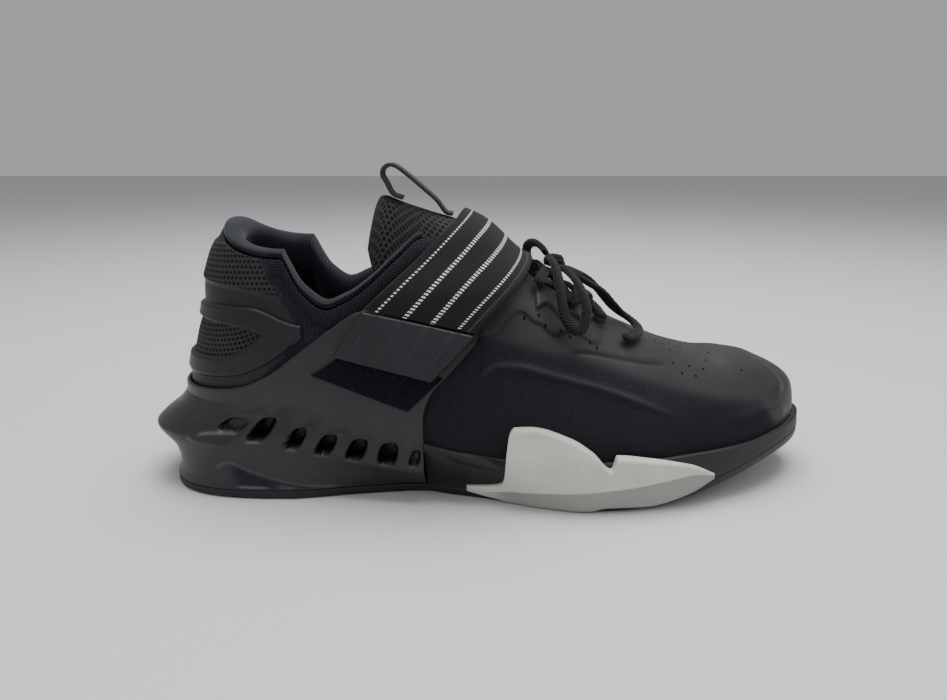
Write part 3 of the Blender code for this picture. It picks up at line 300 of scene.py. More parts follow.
def x_at(share):
    return (share - 0.5) * LENGTH


def share_at(x):
    return x / LENGTH + 0.5


def mix(a, b, t):
    return a + (b - a) * t


def ease(t):
    t = np.clip(t, 0.0, 1.0)
    return t * t * (3 - 2 * t)


def rounded(near, radius):
    """0 at an edge and 1 a radius in from it, along a quarter circle."""
    return np.sqrt(np.clip(1 - (1 - np.minimum(near / radius, 1.0)) ** 2, 0.0, 1.0))


def bowed(share, roundness):
    """The height of a superellipse of half size 1 at a share of its half width."""
    return (1 - share ** roundness) ** (1 / roundness)


def spot(x, y, z):
    """Points from arrays of their coordinates."""
    return np.stack(np.broadcast_arrays(x, y, z), -1)


def line_at(path, share):
    """Height of a side-view line, as a share of INSTEP_HEIGHT, at a share of LENGTH."""
    return np.interp(share, *zip(*path))


def read(rows, key, name, at):
    """A smooth value between a table's rows, without overshoot (monotone cubic)."""
    xs = [getattr(row, key) for row in rows]
    ys = [getattr(row, name) for row in rows]
    if at <= xs[0]:
        return ys[0]
    if at >= xs[-1]:
        return ys[-1]
    steps = [(ys[i + 1] - ys[i]) / (xs[i + 1] - xs[i]) for i in range(len(xs) - 1)]
    slopes = [steps[0]]
    for before, after in zip(steps, steps[1:]):
        slopes.append(0.0 if before * after <= 0 else 2 * before * after / (before + after))
    slopes.append(steps[-1])
    i = next(i for i in range(len(xs) - 1) if at <= xs[i + 1])
    span = xs[i + 1] - xs[i]
    t = (at - xs[i]) / span
    return (
        (1 + 2 * t) * (1 - t) ** 2 * ys[i]
        + t * (1 - t) ** 2 * span * slopes[i]
        + t * t * (3 - 2 * t) * ys[i + 1]
        - t * t * (1 - t) * span * slopes[i + 1]
    )


SAMPLED = {}


def smooth_read(rows, key, name, at):
    """The same curve, sampled once, for arrays."""
    tag = (id(rows), name)
    if tag not in SAMPLED:
        grid = np.linspace(getattr(rows[0], key), getattr(rows[-1], key), 1601)
        SAMPLED[tag] = (grid, np.array([read(rows, key, name, value) for value in grid]))
    grid, values = SAMPLED[tag]
    return np.interp(at, grid, values)


def body(name, x):
    return smooth_read(BODY, "along", name, share_at(x))


def floor(name, x):
    return smooth_read(FLOOR, "along", name, share_at(x))


def arch(x):
    """Centre, half width, foot and height of the body's section at x."""
    along = np.maximum(x, x_at(HEEL_CENTRE))
    toe = np.clip((along - x_at(TOE_START)) / (x_at(TOE_TIP) - x_at(TOE_START)), 0.0, 0.9995)
    foot = mix(BALL_BED_HEIGHT, HEEL_BED_HEIGHT, body("bed", along))
    rise = (INSTEP_HEIGHT * body("top", along) - foot) * bowed(toe, TOE_CAP_ROUNDNESS)
    half = BALL_WIDTH * body("half", along) * np.sqrt(np.maximum(1 - toe * toe, 0.0))
    return BALL_WIDTH * body("centre", along), half, foot, rise


def wall_at(x, z):
    """Centre and half width of the body at a station and a height."""
    centre, half, foot, rise = arch(x)
    share = np.clip((z - foot) / rise, 0.0, 1.0)
    return centre, half * bowed(share, ARCH_ROUNDNESS)


def rear_reach(z):
    return HEEL_REACH * smooth_read(REAR, "height", "reach", z / REAR_COLLAR_HEIGHT)


def body_field(p):
    """Below 1 inside the body and above 1 outside it."""
    x, y, z = p[..., 0], p[..., 1], p[..., 2]
    centre, half, foot, rise = arch(x)
    share = np.maximum(z - foot, 0.0) / rise
    front = np.abs(y - centre) / half
    along = front ** ARCH_ROUNDNESS + share ** ARCH_ROUNDNESS
    width = half * np.maximum(1 - share ** ARCH_ROUNDNESS, 1e-6) ** (1 / ARCH_ROUNDNESS)
    back = np.maximum(x_at(HEEL_CENTRE) - x, 0.0) / rear_reach(z)
    round_heel = back ** HEEL_ROUNDNESS + (np.abs(y - centre) / width) ** HEEL_ROUNDNESS
    return np.where(x >= x_at(HEEL_CENTRE), along, round_heel)


def outward(p):
    """The body's outward direction at points of its surface."""
    step = 0.0002
    slope = np.empty_like(p)
    for axis in range(3):
        shift = np.zeros(3)
        shift[axis] = step
        slope[..., axis] = body_field(p + shift) - body_field(p - shift)
    size = np.linalg.norm(slope, axis=-1, keepdims=True)
    return slope / np.maximum(size, 1e-12)


def pushed(p, offset):
    """Points moved out from the body by an offset for each."""
    offset = np.broadcast_to(offset, p.shape[:-1])
    return p + outward(p) * offset[..., None]


class Lines:
    """Lines up the shoe. turn is 0 to 1 round the heel, 1 to 2 along the side and 2 to 3 round the toe."""

    def __init__(self, side, turn):
        turn = np.asarray(turn, float)
        self.side = np.asarray(side, float)
        self.turn = turn
        heel = np.clip(turn, 0.0, 1.0) * math.pi / 2
        self.back = np.maximum(np.cos(heel), 0.0) ** (2 / HEEL_ROUNDNESS) * (turn < 1.0)
        self.across = np.where(turn < 1.0, np.sin(heel) ** (2 / HEEL_ROUNDNESS), 1.0)
        toe = np.clip(turn - 2.0, 0.0, TOE_END - 2.0) * LAST_TOE_ANGLE
        side_x = mix(x_at(HEEL_CENTRE), x_at(TOE_START), np.clip(turn - 1.0, 0.0, 1.0))
        self.x, self.sole_x = [
            np.where(turn > 2.0, mix(x_at(TOE_START), x_at(tip), np.sin(toe)), side_x)
            for tip in (TOE_TIP, SOLE_TIP)
        ]
        self.round_toe = np.cos(toe)
        self.heel_ease = np.where(turn < 1.0, ease(turn), 1.0)

    def point(self, z, offset=None):
        centre, width = wall_at(self.x, z)
        surface = spot(self.x - rear_reach(z) * self.back, centre + self.side * width * self.across, z)
        return surface if offset is None else pushed(surface, offset)

    def edge_height(self):
        foot, rise = arch(self.x)[2:]
        return mix(REAR_COLLAR_HEIGHT, foot + rise * body("edge", self.x), self.heel_ease)

    def foot_height(self):
        return arch(self.x)[2]

    def outline(self, reach, blend, bulge):
        """The sole's outline at the floor (blend 0) or the body's (blend 1), with a bulge."""
        centre, half = arch(self.x)[:2]
        middle = mix(BALL_WIDTH * floor("centre", self.sole_x), centre, blend)
        sole_half = BALL_WIDTH * floor("half", self.sole_x) * self.round_toe
        wide = mix(sole_half, half, blend) + bulge * self.round_toe
        heel = mix(mix(HEEL_WIDTH / 2, wide, self.heel_ease), wide, blend)
        turned = 2 / mix(SOLE_ROUNDNESS, HEEL_ROUNDNESS, blend)
        angle = np.clip(self.turn, 0.0, 1.0) * math.pi / 2
        behind = self.turn < 1.0
        wide = np.where(behind, heel * np.sin(angle) ** turned, wide)
        back = np.where(behind, np.maximum(np.cos(angle), 0.0) ** turned, 0.0)
        return self.sole_x - HEEL_REACH * reach * back, middle + self.side * wide


def turn_at(share):
    """The turn of a line at a station beside or in front of the heel's centre."""
    share = np.asarray(share, float)
    side = 1.0 + (share - HEEL_CENTRE) / (TOE_START - HEEL_CENTRE)
    toe = 2.0 + np.arcsin(np.clip((share - TOE_START) / (TOE_TIP - TOE_START), 0.0, 1.0)) / LAST_TOE_ANGLE
    return np.where(share > TOE_START, toe, side)


def side_point(side, x, z, offset=0.0):
    """The body's surface at a side-view place."""
    centre, width = wall_at(x, z)
    back = np.clip((x_at(HEEL_CENTRE) - x) / rear_reach(z), 0.0, 1.0)
    return pushed(spot(x, centre + side * width * bowed(back, HEEL_ROUNDNESS), z), offset)


def over(x, y, lift):
    """A point above the body at a plan position measured from the last's axis."""
    x, y = np.broadcast_arrays(np.asarray(x, float), np.asarray(y, float))
    centre, half, foot, rise = arch(x)
    share = np.minimum(np.abs(y - centre) / half, 1.0)
    return pushed(spot(x, y, foot + rise * bowed(share, ARCH_ROUNDNESS)), lift)


def smooth_path(points, steps):
    """A Catmull-Rom curve through points, evenly sampled between them."""
    points = [np.asarray(point, float) for point in points]
    ends = [2 * points[0] - points[1]] + points + [2 * points[-1] - points[-2]]
    path = []
    for i in range(1, len(ends) - 2):
        a, b, c, d = ends[i - 1:i + 3]
        for k in range(steps):
            t = k / steps
            curve = (2 * a - 5 * b + 4 * c - d) * t * t + (3 * b - a - 3 * c + d) * t ** 3
            path.append(0.5 * (2 * b + (c - a) * t + curve))
    path.append(points[-1])
    return np.array(path)


# Relief and zones in the side view

Fold = namedtuple("Fold", "path height width fade")


def laid_out(path):
    return [(x_at(along), height * INSTEP_HEIGHT) for along, height in path]


def nearest(x, z, first, last):
    """The nearest place on a straight piece, as a share of it, and the distance to it."""
    (ax, az), (bx, bz) = first, last
    t = np.clip(((x - ax) * (bx - ax) + (z - az) * (bz - az)) / ((bx - ax) ** 2 + (bz - az) ** 2), 0.0, 1.0)
    return t, np.hypot(x - mix(ax, bx, t), z - mix(az, bz, t))


def stroke(x, z, path, width, fade=0.0):
    """1 on a side-view line given in shares, 0.37 at its width from it and less beyond, with faded ends."""
    best = np.full(np.broadcast(x, z).shape, 1e9)
    along = np.zeros_like(best)
    points = smooth_path(laid_out(path), 6)
    total = len(points) - 1
    for i in range(total):
        t, far = nearest(x, z, points[i], points[i + 1])
        along = np.where(far < best, (i + t) / total, along)
        best = np.minimum(best, far)
    value = np.exp(-(best / width) ** 2)
    if fade:
        value = value * ease(along / fade) * ease((1 - along) / fade)
    return value


def folded(x, z, folds):
    """Heights of several ridges and troughs, added up."""
    return sum(fold.height * stroke(x, z, fold.path, fold.width, fold.fade) for fold in folds)


def strongest(x, z, folds):
    """The strongest of several lines at each place."""
    return np.maximum.reduce([fold.height * stroke(x, z, fold.path, fold.width, fold.fade) for fold in folds])


def signed_inside(x, z, outline):
    """Distance inside a side-view outline given in shares: positive inside, in metres."""
    points = laid_out(outline)
    best = np.full(np.broadcast(x, z).shape, 1e9)
    inside = np.zeros(best.shape, bool)
    for first, last in zip(points, points[1:] + points[:1]):
        (ax, az), (bx, bz) = first, last
        best = np.minimum(best, nearest(x, z, first, last)[1])
        crosses = (az > z) != (bz > z)
        at = ax + (z - az) * (bx - ax) / (bz - az if bz != az else 1e-12)
        inside ^= crosses & (x < at)
    return np.where(inside, best, -best)


def zone(x, z, outline, soft):
    """1 inside a side-view outline, with a soft edge."""
    return ease(0.5 + signed_inside(x, z, outline) / (2 * soft))


# Meshes from grids of points

def to_frame(grid):
    return grid + np.array([FORWARD_OFFSET, AXIS_OFFSET, 0.0])


def mesh_from(name, points, faces, corner_uv=None, marks=None):
    """A smooth mesh object; marks are named numbers for each vertex."""
    mesh = bpy.data.meshes.new(name)
    mesh.vertices.add(len(points))
    mesh.vertices.foreach_set("co", np.ascontiguousarray(to_frame(points), dtype=np.float32).ravel())
    count = faces.shape[1]
    mesh.loops.add(faces.size)
    mesh.loops.foreach_set("vertex_index", faces.ravel().astype(np.int32))
    mesh.polygons.add(len(faces))
    mesh.polygons.foreach_set("loop_start", np.arange(0, faces.size, count, dtype=np.int32))
    if corner_uv is not None:
        layer = mesh.uv_layers.new(name="cloth")
        layer.data.foreach_set("uv", corner_uv.astype(np.float32).ravel())
    for mark, values in (marks or {}).items():
        attribute = mesh.attributes.new(mark, "FLOAT", "POINT")
        attribute.data.foreach_set("value", np.broadcast_to(values, len(points)).astype(np.float32).ravel())
    mesh.update(calc_edges=True)
    mesh.validate()
    mesh.shade_smooth()
    made = bpy.data.objects.new(name, mesh)
    bpy.context.scene.collection.objects.link(made)
    return made


def grid_faces(n, m, wrap_n=False, wrap_m=False, flip=False):
    """Quads of an n by m grid, and for each corner its column and row without wrapping."""
    i, j = np.meshgrid(np.arange(n - 1 + wrap_n), np.arange(m - 1 + wrap_m), indexing="ij")
    columns = np.stack([i, i + 1, i + 1, i], -1).reshape(-1, 4)
    rows = np.stack([j, j, j + 1, j + 1], -1).reshape(-1, 4)
    if flip:
        columns = columns[:, ::-1]
        rows = rows[:, ::-1]
    return (columns % n) * m + rows % m, columns, rows


def arc_uv(grid, wrap_n=False, wrap_m=False):
    """UVs in centimetres: mean length along the rows, and length up each column."""
    whole = grid
    if wrap_n:
        whole = np.concatenate([whole, whole[:1]], 0)
    if wrap_m:
        whole = np.concatenate([whole, whole[:, :1]], 1)
    along = np.linalg.norm(np.diff(whole, axis=0), axis=-1).mean(axis=1)
    up = np.linalg.norm(np.diff(whole, axis=1), axis=-1)
    u = np.concatenate([[0.0], np.cumsum(along)])
    v = np.concatenate([np.zeros((len(whole), 1)), np.cumsum(up, axis=1)], 1)
    return np.stack([np.broadcast_to(u[:, None], v.shape), v], -1) * 100.0


def grid_mesh(name, grid, wrap_n=False, wrap_m=False, flip=False, marks=None, uv=None):
    """A mesh through a grid of points, with UVs in centimetres."""
    n, m = grid.shape[:2]
    faces, columns, rows = grid_faces(n, m, wrap_n, wrap_m, flip)
    if uv is None:
        uv = arc_uv(grid, wrap_n, wrap_m)
    corner_uv = uv[columns, rows]
    flat = {mark: np.broadcast_to(values, (n, m)).reshape(-1) for mark, values in (marks or {}).items()}
    return mesh_from(name, grid.reshape(-1, 3), faces, corner_uv, flat)


def facing(grid):
    """Outward directions at the points of a grid that runs round the heel and up."""
    normal = np.cross(np.gradient(grid, axis=1), np.gradient(grid, axis=0))
    return normal / np.maximum(np.linalg.norm(normal, axis=-1, keepdims=True), 1e-12)


# Materials

class Look:
    """A procedural material, built up from small steps."""

    def __init__(self, name):
        self.material = bpy.data.materials.new(name)
        self.material.use_nodes = True
        self.tree = self.material.node_tree
        self.shader = self.tree.nodes["Principled BSDF"]
        self.height = None

    def node(self, kind, inputs=(), **settings):
        made = self.tree.nodes.new(kind)
        for key, value in settings.items():
            setattr(made, key, value)
        for key, value in dict(inputs).items():
            self.feed(made.inputs[key], value)
        return made

    def feed(self, socket, value):
        if hasattr(value, "is_output"):
            self.tree.links.new(value, socket)
        elif isinstance(value, tuple) and len(value) == 3 and socket.type == "RGBA":
            socket.default_value = (*value, 1.0)
        else:
            socket.default_value = value

    def sum(self, operation, a, b=0.0, c=0.0):
        return self.node("ShaderNodeMath", {0: a, 1: b, 2: c}, operation=operation).outputs[0]

    def times(self, a, b):
        return self.sum("MULTIPLY", a, b)

    def plus(self, a, b):
        return self.sum("ADD", a, b)

    def rest(self, value):
        """1 less a value."""
        return self.sum("SUBTRACT", 1.0, value)

    def far(self, value, middle):
        return self.sum("ABSOLUTE", self.sum("SUBTRACT", value, middle))

    def ramp(self, value, low, high, to_low=0.0, to_high=1.0):
        """A smooth change from to_low to to_high while the value goes from low to high."""
        inputs = {"Value": value, "From Min": low, "From Max": high, "To Min": to_low, "To Max": to_high}
        return self.node("ShaderNodeMapRange", inputs, interpolation_type="SMOOTHSTEP").outputs["Result"]

    def colours(self, factor, a, b):
        made = self.node("ShaderNodeMix", {"Factor": factor}, data_type="RGBA")
        self.feed(made.inputs["A"], a)
        self.feed(made.inputs["B"], b)
        return made.outputs["Result"]

    def place(self):
        return self.node("ShaderNodeTexCoord").outputs["Object"]

    def uv(self):
        made = self.node("ShaderNodeSeparateXYZ")
        self.tree.links.new(self.node("ShaderNodeUVMap", uv_map="cloth").outputs["UV"], made.inputs[0])
        return made.outputs["X"], made.outputs["Y"]

    def mark(self, name):
        return self.node("ShaderNodeAttribute", attribute_name=name).outputs["Fac"]

    def noise(self, scale, detail=3.0, roughness=0.5):
        inputs = {"Vector": self.place(), "Scale": scale, "Detail": detail, "Roughness": roughness}
        return self.node("ShaderNodeTexNoise", inputs).outputs["Fac"]

    def cells(self, scale):
        inputs = {"Vector": self.place(), "Scale": scale}
        return self.node("ShaderNodeTexVoronoi", inputs, feature="F1").outputs["Distance"]

    def wave(self, value, per_unit):
        """A sine from 0 to 1, so many to one unit of value."""
        turned = self.sum("SINE", self.times(value, per_unit * math.tau))
        return self.sum("MULTIPLY_ADD", turned, 0.5, 0.5)

    def raise_by(self, height, metres):
        """Adds a height from 0 to 1 to the bump, that many metres high."""
        made = self.times(height, metres)
        self.height = made if self.height is None else self.plus(self.height, made)

    def finish(self, colour, roughness, shine=0.3, **sockets):
        self.feed(self.shader.inputs["Base Color"], colour)
        self.feed(self.shader.inputs["Roughness"], roughness)
        self.shader.inputs["Specular IOR Level"].default_value = shine
        for key, value in sockets.items():
            self.shader.inputs[key.replace("_", " ")].default_value = value
        if self.height is not None:
            bump = self.node("ShaderNodeBump")
            bump.inputs["Strength"].default_value = 1.0
            bump.inputs["Distance"].default_value = 1.0
            self.tree.links.new(self.height, bump.inputs["Height"])
            self.tree.links.new(bump.outputs["Normal"], self.shader.inputs["Normal"])
        return self.material


def weave_height(look, u, v, threads):
    """A plain weave: warp and weft pass over each other in turn."""
    angles = [look.times(way, threads * math.pi) for way in (u, v)]
    both = look.times(*[look.sum("SINE", angle) for angle in angles])
    over_warp, over_weft = [look.sum("ABSOLUTE", look.sum("COSINE", angle)) for angle in angles]
    chosen = look.ramp(both, -0.25, 0.25)
    return look.plus(look.times(over_warp, chosen), look.times(over_weft, look.rest(chosen)))


# Added before a fraction is taken, so that it never falls on a negative number
WHOLE_SHIFT = 1000.0
HOLE_RADIUS = 0.42
# Painted shade in the holes of mesh cloth
HOLE_SHADE = (0.0015, 0.0015, 0.0015)


def hole_grid(look, u, v, per_cm):
    """1 inside round holes in rows set off by half a space."""
    row = look.sum("FLOOR", look.times(v, per_cm))
    shift = look.times(look.sum("MODULO", row, 2.0), 0.5)
    squares = []
    for way, moved in ((u, look.plus(shift, WHOLE_SHIFT)), (v, WHOLE_SHIFT)):
        cell = look.sum("FRACT", look.plus(look.times(way, per_cm), moved))
        from_middle = look.sum("SUBTRACT", cell, 0.5)
        squares.append(look.times(from_middle, from_middle))
    return look.ramp(look.sum("SQRT", look.plus(*squares)), HOLE_RADIUS, HOLE_RADIUS * 0.6)


def knit_links(look, u, v):
    """Loops of a knit in upright rows."""
    return look.times(look.wave(look.plus(u, look.times(look.wave(v, 3.2), 0.05)), 6.0), look.wave(v, 9.0))


def textile_look(name, colour, light, threads):
    """Woven cloth with uneven yarns."""
    look = Look(name)
    u, v = look.uv()
    woven = weave_height(look, u, v, threads)
    broad = look.noise(38.0, 4.0)
    fine = look.noise(900.0, 2.0)
    look.raise_by(woven, 0.00022)
    look.raise_by(fine, 0.00008)
    tone = look.plus(look.times(woven, 0.55), look.times(fine, 0.45))
    tone = look.times(tone, look.ramp(broad, 0.3, 0.75, 0.75, 1.1))
    return look.finish(look.colours(tone, colour, light), 0.85, 0.2, Sheen_Weight=0.08, Sheen_Roughness=0.4)


def plastic_look(name, colour, light, roughness, grain=0.00003):
    """Moulded plastic or rubber with a fine grain and slight wear."""
    look = Look(name)
    fine = look.noise(1500.0, 2.0)
    broad = look.noise(24.0, 5.0, 0.6)
    smears = look.noise(90.0, 3.0)
    look.raise_by(fine, grain)
    look.raise_by(smears, 0.00006)
    tone = look.ramp(broad, 0.35, 0.7)
    rough = look.ramp(look.plus(look.times(smears, 0.5), look.times(fine, 0.5)), 0.3, 0.7,
                      roughness - 0.05, roughness + 0.08)
    return look.finish(look.colours(tone, colour, light), rough, 0.4)


def dress(made, material, slot, *nodes):
    """Gives a piece its material and its body, and hides the nodes that it stands for. The slot is not used.
    """
    made.data.materials.clear()
    made.data.materials.append(material)
    if nodes:
        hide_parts(*nodes)
    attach(made, "root")
    return made


# Colours that more than one piece has, dark and light
LEATHER = ((0.016, 0.0165, 0.0175), (0.024, 0.0245, 0.026))
KNIT = ((0.003, 0.003, 0.006), (0.022, 0.023, 0.034))


# Laces: the cords come first

def lace_point(place):
    along, across, lift = place
    x = x_at(along)
    return over(x, arch(x)[0] + across * BALL_WIDTH, lift * LACE_DIAMETER)


def frames_along(path, up):
    """Directions sideways and up at each point of a path, up being a guess for each."""
    ahead = np.gradient(path, axis=0)
    ahead /= np.linalg.norm(ahead, axis=1, keepdims=True)
    side = np.cross(ahead, up)
    side /= np.maximum(np.linalg.norm(side, axis=1, keepdims=True), 1e-9)
    return side, np.cross(side, ahead)


def fuller(wave, power):
    """A wave with fuller turns, for the outline of a flat band."""
    return np.sign(wave) * np.abs(wave) ** power


def band_rings(path, side, up, half_wide, half_thick, turn, powers, scale=1.0):
    """Rings of a band along a path."""
    across = side[:, None, :] * (fuller(np.cos(turn), powers[0]) * half_wide)[None, :, None]
    high = up[:, None, :] * (fuller(np.sin(turn), powers[1]) * half_thick)[None, :, None]
    return path[:, None, :] + (across + high) * scale


def lace_grid(path, up, width, thick, tip=0.0):
    """Rings of a flat braided lace along a path, pinched at both ends over the length of a tip."""
    side, lift = frames_along(path, up)
    length = np.concatenate([[0.0], np.cumsum(np.linalg.norm(np.diff(path, axis=0), axis=1))])
    turn = np.linspace(0, math.tau, 20, endpoint=False)
    braid = np.cos(length[:, None] / LACE_BRAID * math.tau + 2 * np.abs(((turn[None, :] / math.pi) % 2) - 1))
    scale = 1 + LACE_RIBS * braid / (width / 2)
    if tip:
        ends = np.minimum(length, length[-1] - length)
        scale = scale * np.sqrt(np.clip(0.15 + ends / tip, 0.0, 1.0))[:, None]
    return band_rings(path, side, lift, width / 2, thick / 2, turn, (0.8, 0.8), scale[..., None])


def closed_ends(grid):
    """Adds rings that close both ends of a tube of rings."""
    first = grid[:1].mean(axis=1, keepdims=True)
    last = grid[-1:].mean(axis=1, keepdims=True)
    head = [mix(first, grid[:1], share) for share in (0.0, 0.55)]
    tail = [mix(last, grid[-1:], share) for share in (0.55, 0.0)]
    return np.concatenate(head + [grid] + tail, 0)


def path_length(path):
    return float(np.linalg.norm(np.diff(path, axis=0), axis=1).sum())


def lace_look():
    look = Look("lace")
    u, v = look.uv()
    slant = look.plus(look.times(u, 7.0), look.times(look.far(v, 0.55), 5.0))
    yarn = look.wave(slant, 1.0)
    fine = look.noise(1400.0, 2.0)
    look.raise_by(yarn, 0.00022)
    look.raise_by(fine, 0.0001)
    tone = look.times(yarn, look.ramp(fine, 0.3, 0.7, 0.5, 1.0))
    colour = look.colours(tone, (0.002, 0.002, 0.0025), (0.013, 0.013, 0.015))
    return look.finish(colour, 0.85, 0.2, Sheen_Weight=0.1, Sheen_Roughness=0.4)


LACE_LOOK = lace_look()


def make_cord(name, places, node):
    path = smooth_path([lace_point(place) for place in places], 8)
    up = outward(path)
    grid = lace_grid(path, up, LACE_DIAMETER, LACE_DIAMETER * 0.62, tip=0.0018)
    made = grid_mesh(name, closed_ends(grid), wrap_m=True)
    dress(made, LACE_LOOK, "lace", node)
    path_length(path)
    return made


def make_bow():
    make_cord("bow_loop_outer", LOOP_OUTER, "lace_loop_outer")
    make_cord("bow_loop_inner", LOOP_INNER, "lace_loop_inner")
    make_cord("lace_tail_outer", END_OUTER, "lace_end_outer")
    make_cord("lace_tail_inner", END_INNER, "lace_end_inner")


def turned(angle, first, second):
    """A matrix that turns points in the plane of two axes."""
    matrix = np.eye(3)
    pair = np.ix_((first, second), (first, second))
    matrix[pair] = ((math.cos(angle), -math.sin(angle)), (math.sin(angle), math.cos(angle)))
    return matrix


def make_knot():
    """The bow's knot: turns of lace round each other."""
    centre = lace_point(KNOT)
    half = np.array(KNOT_SCALE) * LACE_DIAMETER / 2
    pieces = []
    for k, (tilt, swing) in enumerate(((0.2, 0.0), (1.35, 0.5), (-0.9, -0.4))):
        turn = np.linspace(0.0, math.tau, 60, endpoint=False)
        ring = np.stack([np.cos(turn) * 0.62, np.sin(turn) * 0.66, 0.25 * np.sin(2 * turn + k)], -1)
        path = centre + (ring @ turned(tilt, 1, 2).T @ turned(swing, 0, 1).T) * half
        grid = lace_grid(path, path - centre, LACE_DIAMETER * 0.8, LACE_DIAMETER * 0.5)
        pieces.append(grid_mesh(f"bow_knot_{k}", grid, wrap_n=True, wrap_m=True))
    for k, made in enumerate(pieces):
        dress(made, LACE_LOOK, "lace", *(["lace_knot"] if k == 0 else []))


make_bow()
make_knot()


def make_crossings():
    """The lace in front of the strap, from eyelet to eyelet, dipping into each."""
    lift = OVERLAY_GAP + EYESTAY_WALL + CLEARANCE + LACE_DIAMETER * 0.36
    for first, name in ((OUTER_SIDE, "lace_crossing_a"), (INNER_SIDE, "lace_crossing_b")):
        side = first
        places = []
        for eyelet in EYELETS:
            x = x_at(eyelet.along)
            places.append((x, arch(x)[0] + side * eyelet.spread * BALL_WIDTH))
            side = -side
        path = []
        last = len(places) - 2
        for k, ((x0, y0), (x1, y1)) in enumerate(zip(places, places[1:])):
            t = np.linspace(0.0, 1.0, 40)[: 40 if k == last else -1]
            rise = CROSSING_RISE * (1 if (k + (first == OUTER_SIDE)) % 2 else -0.3)
            above = rise * np.sin(t * math.pi) - CROSSING_SAG * ease((np.minimum(t, 1 - t) - 0.2) / 0.3)
            path.append(over(mix(x0, x1, t), mix(y0, y1, t), lift + above))
        path = np.concatenate(path, 0)
        grid = lace_grid(path, outward(path), LACE_DIAMETER * 1.05, LACE_DIAMETER * 0.55, tip=0.002)
        made = grid_mesh(name, closed_ends(grid), wrap_m=True)
        dress(made, LACE_LOOK, "lace", "lace_crossings")


make_crossings()


# Upper

RIDGE = (
    (0.504, 0.468), (0.511, 0.503), (0.527, 0.527), (0.559, 0.523),
    (0.600, 0.495), (0.670, 0.442), (0.726, 0.389), (0.800, 0.314),
)
SHORT_SEAM = ((0.629, 0.562), (0.664, 0.548), (0.718, 0.515), (0.776, 0.484))
TOE_FOLD = ((0.847, 0.479), (0.915, 0.447), (0.948, 0.403), (0.970, 0.330))
TOE_FOLD_LOW = ((0.860, 0.280), (0.912, 0.300), (0.950, 0.290), (0.975, 0.240))
LOWER_ZONE = (
    (0.38, 0.10), (0.38, 0.60), (0.440, 0.640), (0.504, 0.630), (0.600, 0.570), (0.690, 0.500),
    (0.780, 0.420), (0.850, 0.370), (0.920, 0.330), (0.96, 0.20), (0.96, 0.02), (0.38, 0.02),
)
SCALLOPS = (
    (0.500, 0.612), (0.522, 0.629), (0.531, 0.637), (0.540, 0.670), (0.555, 0.697), (0.565, 0.692),
    (0.577, 0.664), (0.589, 0.650), (0.598, 0.629), (0.609, 0.615), (0.624, 0.620), (0.641, 0.612),
    (0.655, 0.588), (0.670, 0.572),
)
PILLOW = (
    (-0.05, 0.800), (0.113, 0.796), (0.157, 0.787), (0.195, 0.775), (0.228, 0.756), (0.214, 0.811),
    (0.206, 0.862), (0.196, 0.900), (0.175, 0.930), (-0.05, 0.940),
)
CAP = (
    (-0.05, 0.200), (-0.05, 0.800), (0.113, 0.796), (0.157, 0.787), (0.195, 0.775), (0.228, 0.752),
    (0.240, 0.700), (0.254, 0.620), (0.230, 0.545), (0.200, 0.470), (0.190, 0.400), (0.180, 0.200),
)
CAP_EDGE = ((0.060, 0.800), (0.113, 0.794), (0.157, 0.785), (0.195, 0.770), (0.228, 0.746), (0.262, 0.716))


UPPER_FOLDS = (
    Fold(RIDGE, 0.0015, 0.0014, 0.2), Fold(SHORT_SEAM, -0.0007, 0.0009, 0.1),
    Fold(TOE_FOLD, 0.0015, 0.0026, 0.2), Fold(TOE_FOLD_LOW, 0.0013, 0.0024, 0.2),
    Fold(CAP_EDGE, 0.0005, 0.0011, 0.1),
)
SEAMS = (Fold(SHORT_SEAM, 1.0, 0.0007, 0.05), Fold(SCALLOPS, 0.8, 0.0007, 0.0))


def upper_relief(x, z):
    """Soft ridges and troughs of the upper's outside, in metres outwards."""
    share = share_at(x)
    over_edge = ease((z - INSTEP_HEIGHT * line_at(SCALLOPS, share)) / 0.0009)
    over_edge = over_edge * ease((share - 0.500) / 0.010) * ease((0.680 - share) / 0.012)
    return folded(x, z, UPPER_FOLDS) + 0.0006 * over_edge + 0.0010 * zone(x, z, PILLOW, 0.0016)


def ring_turns(last, heel=50, side=170, toe=70):
    """Sides and turns of lines from one side's front, round the heel, to the other side's front."""
    turns = [np.linspace(0.0, 1.0, heel, endpoint=False)]
    if last <= 2.0:
        turns.append(np.linspace(1.0, last, side))
    else:
        turns.append(np.linspace(1.0, 2.0, side, endpoint=False))
        turns.append(np.linspace(2.0, last, toe))
    half = np.concatenate(turns)
    turn = np.concatenate([half[::-1], half[1:]])
    side_sign = np.concatenate([np.full(len(half), OUTER_SIDE), np.full(len(half) - 1, INNER_SIDE)])
    return side_sign, turn


def welded(made, far=0.000005):
    """Merges the vertices that meet on the centre line and deletes the faces buried there."""
    shape = bmesh.new()
    shape.from_mesh(made.data)
    bmesh.ops.remove_doubles(shape, verts=shape.verts, dist=far)
    buried = [face for face in shape.faces if sum(len(edge.link_faces) > 2 for edge in face.edges) > 1]
    bmesh.ops.delete(shape, geom=buried, context="FACES_ONLY")
    shape.to_mesh(made.data)
    shape.free()
    return made


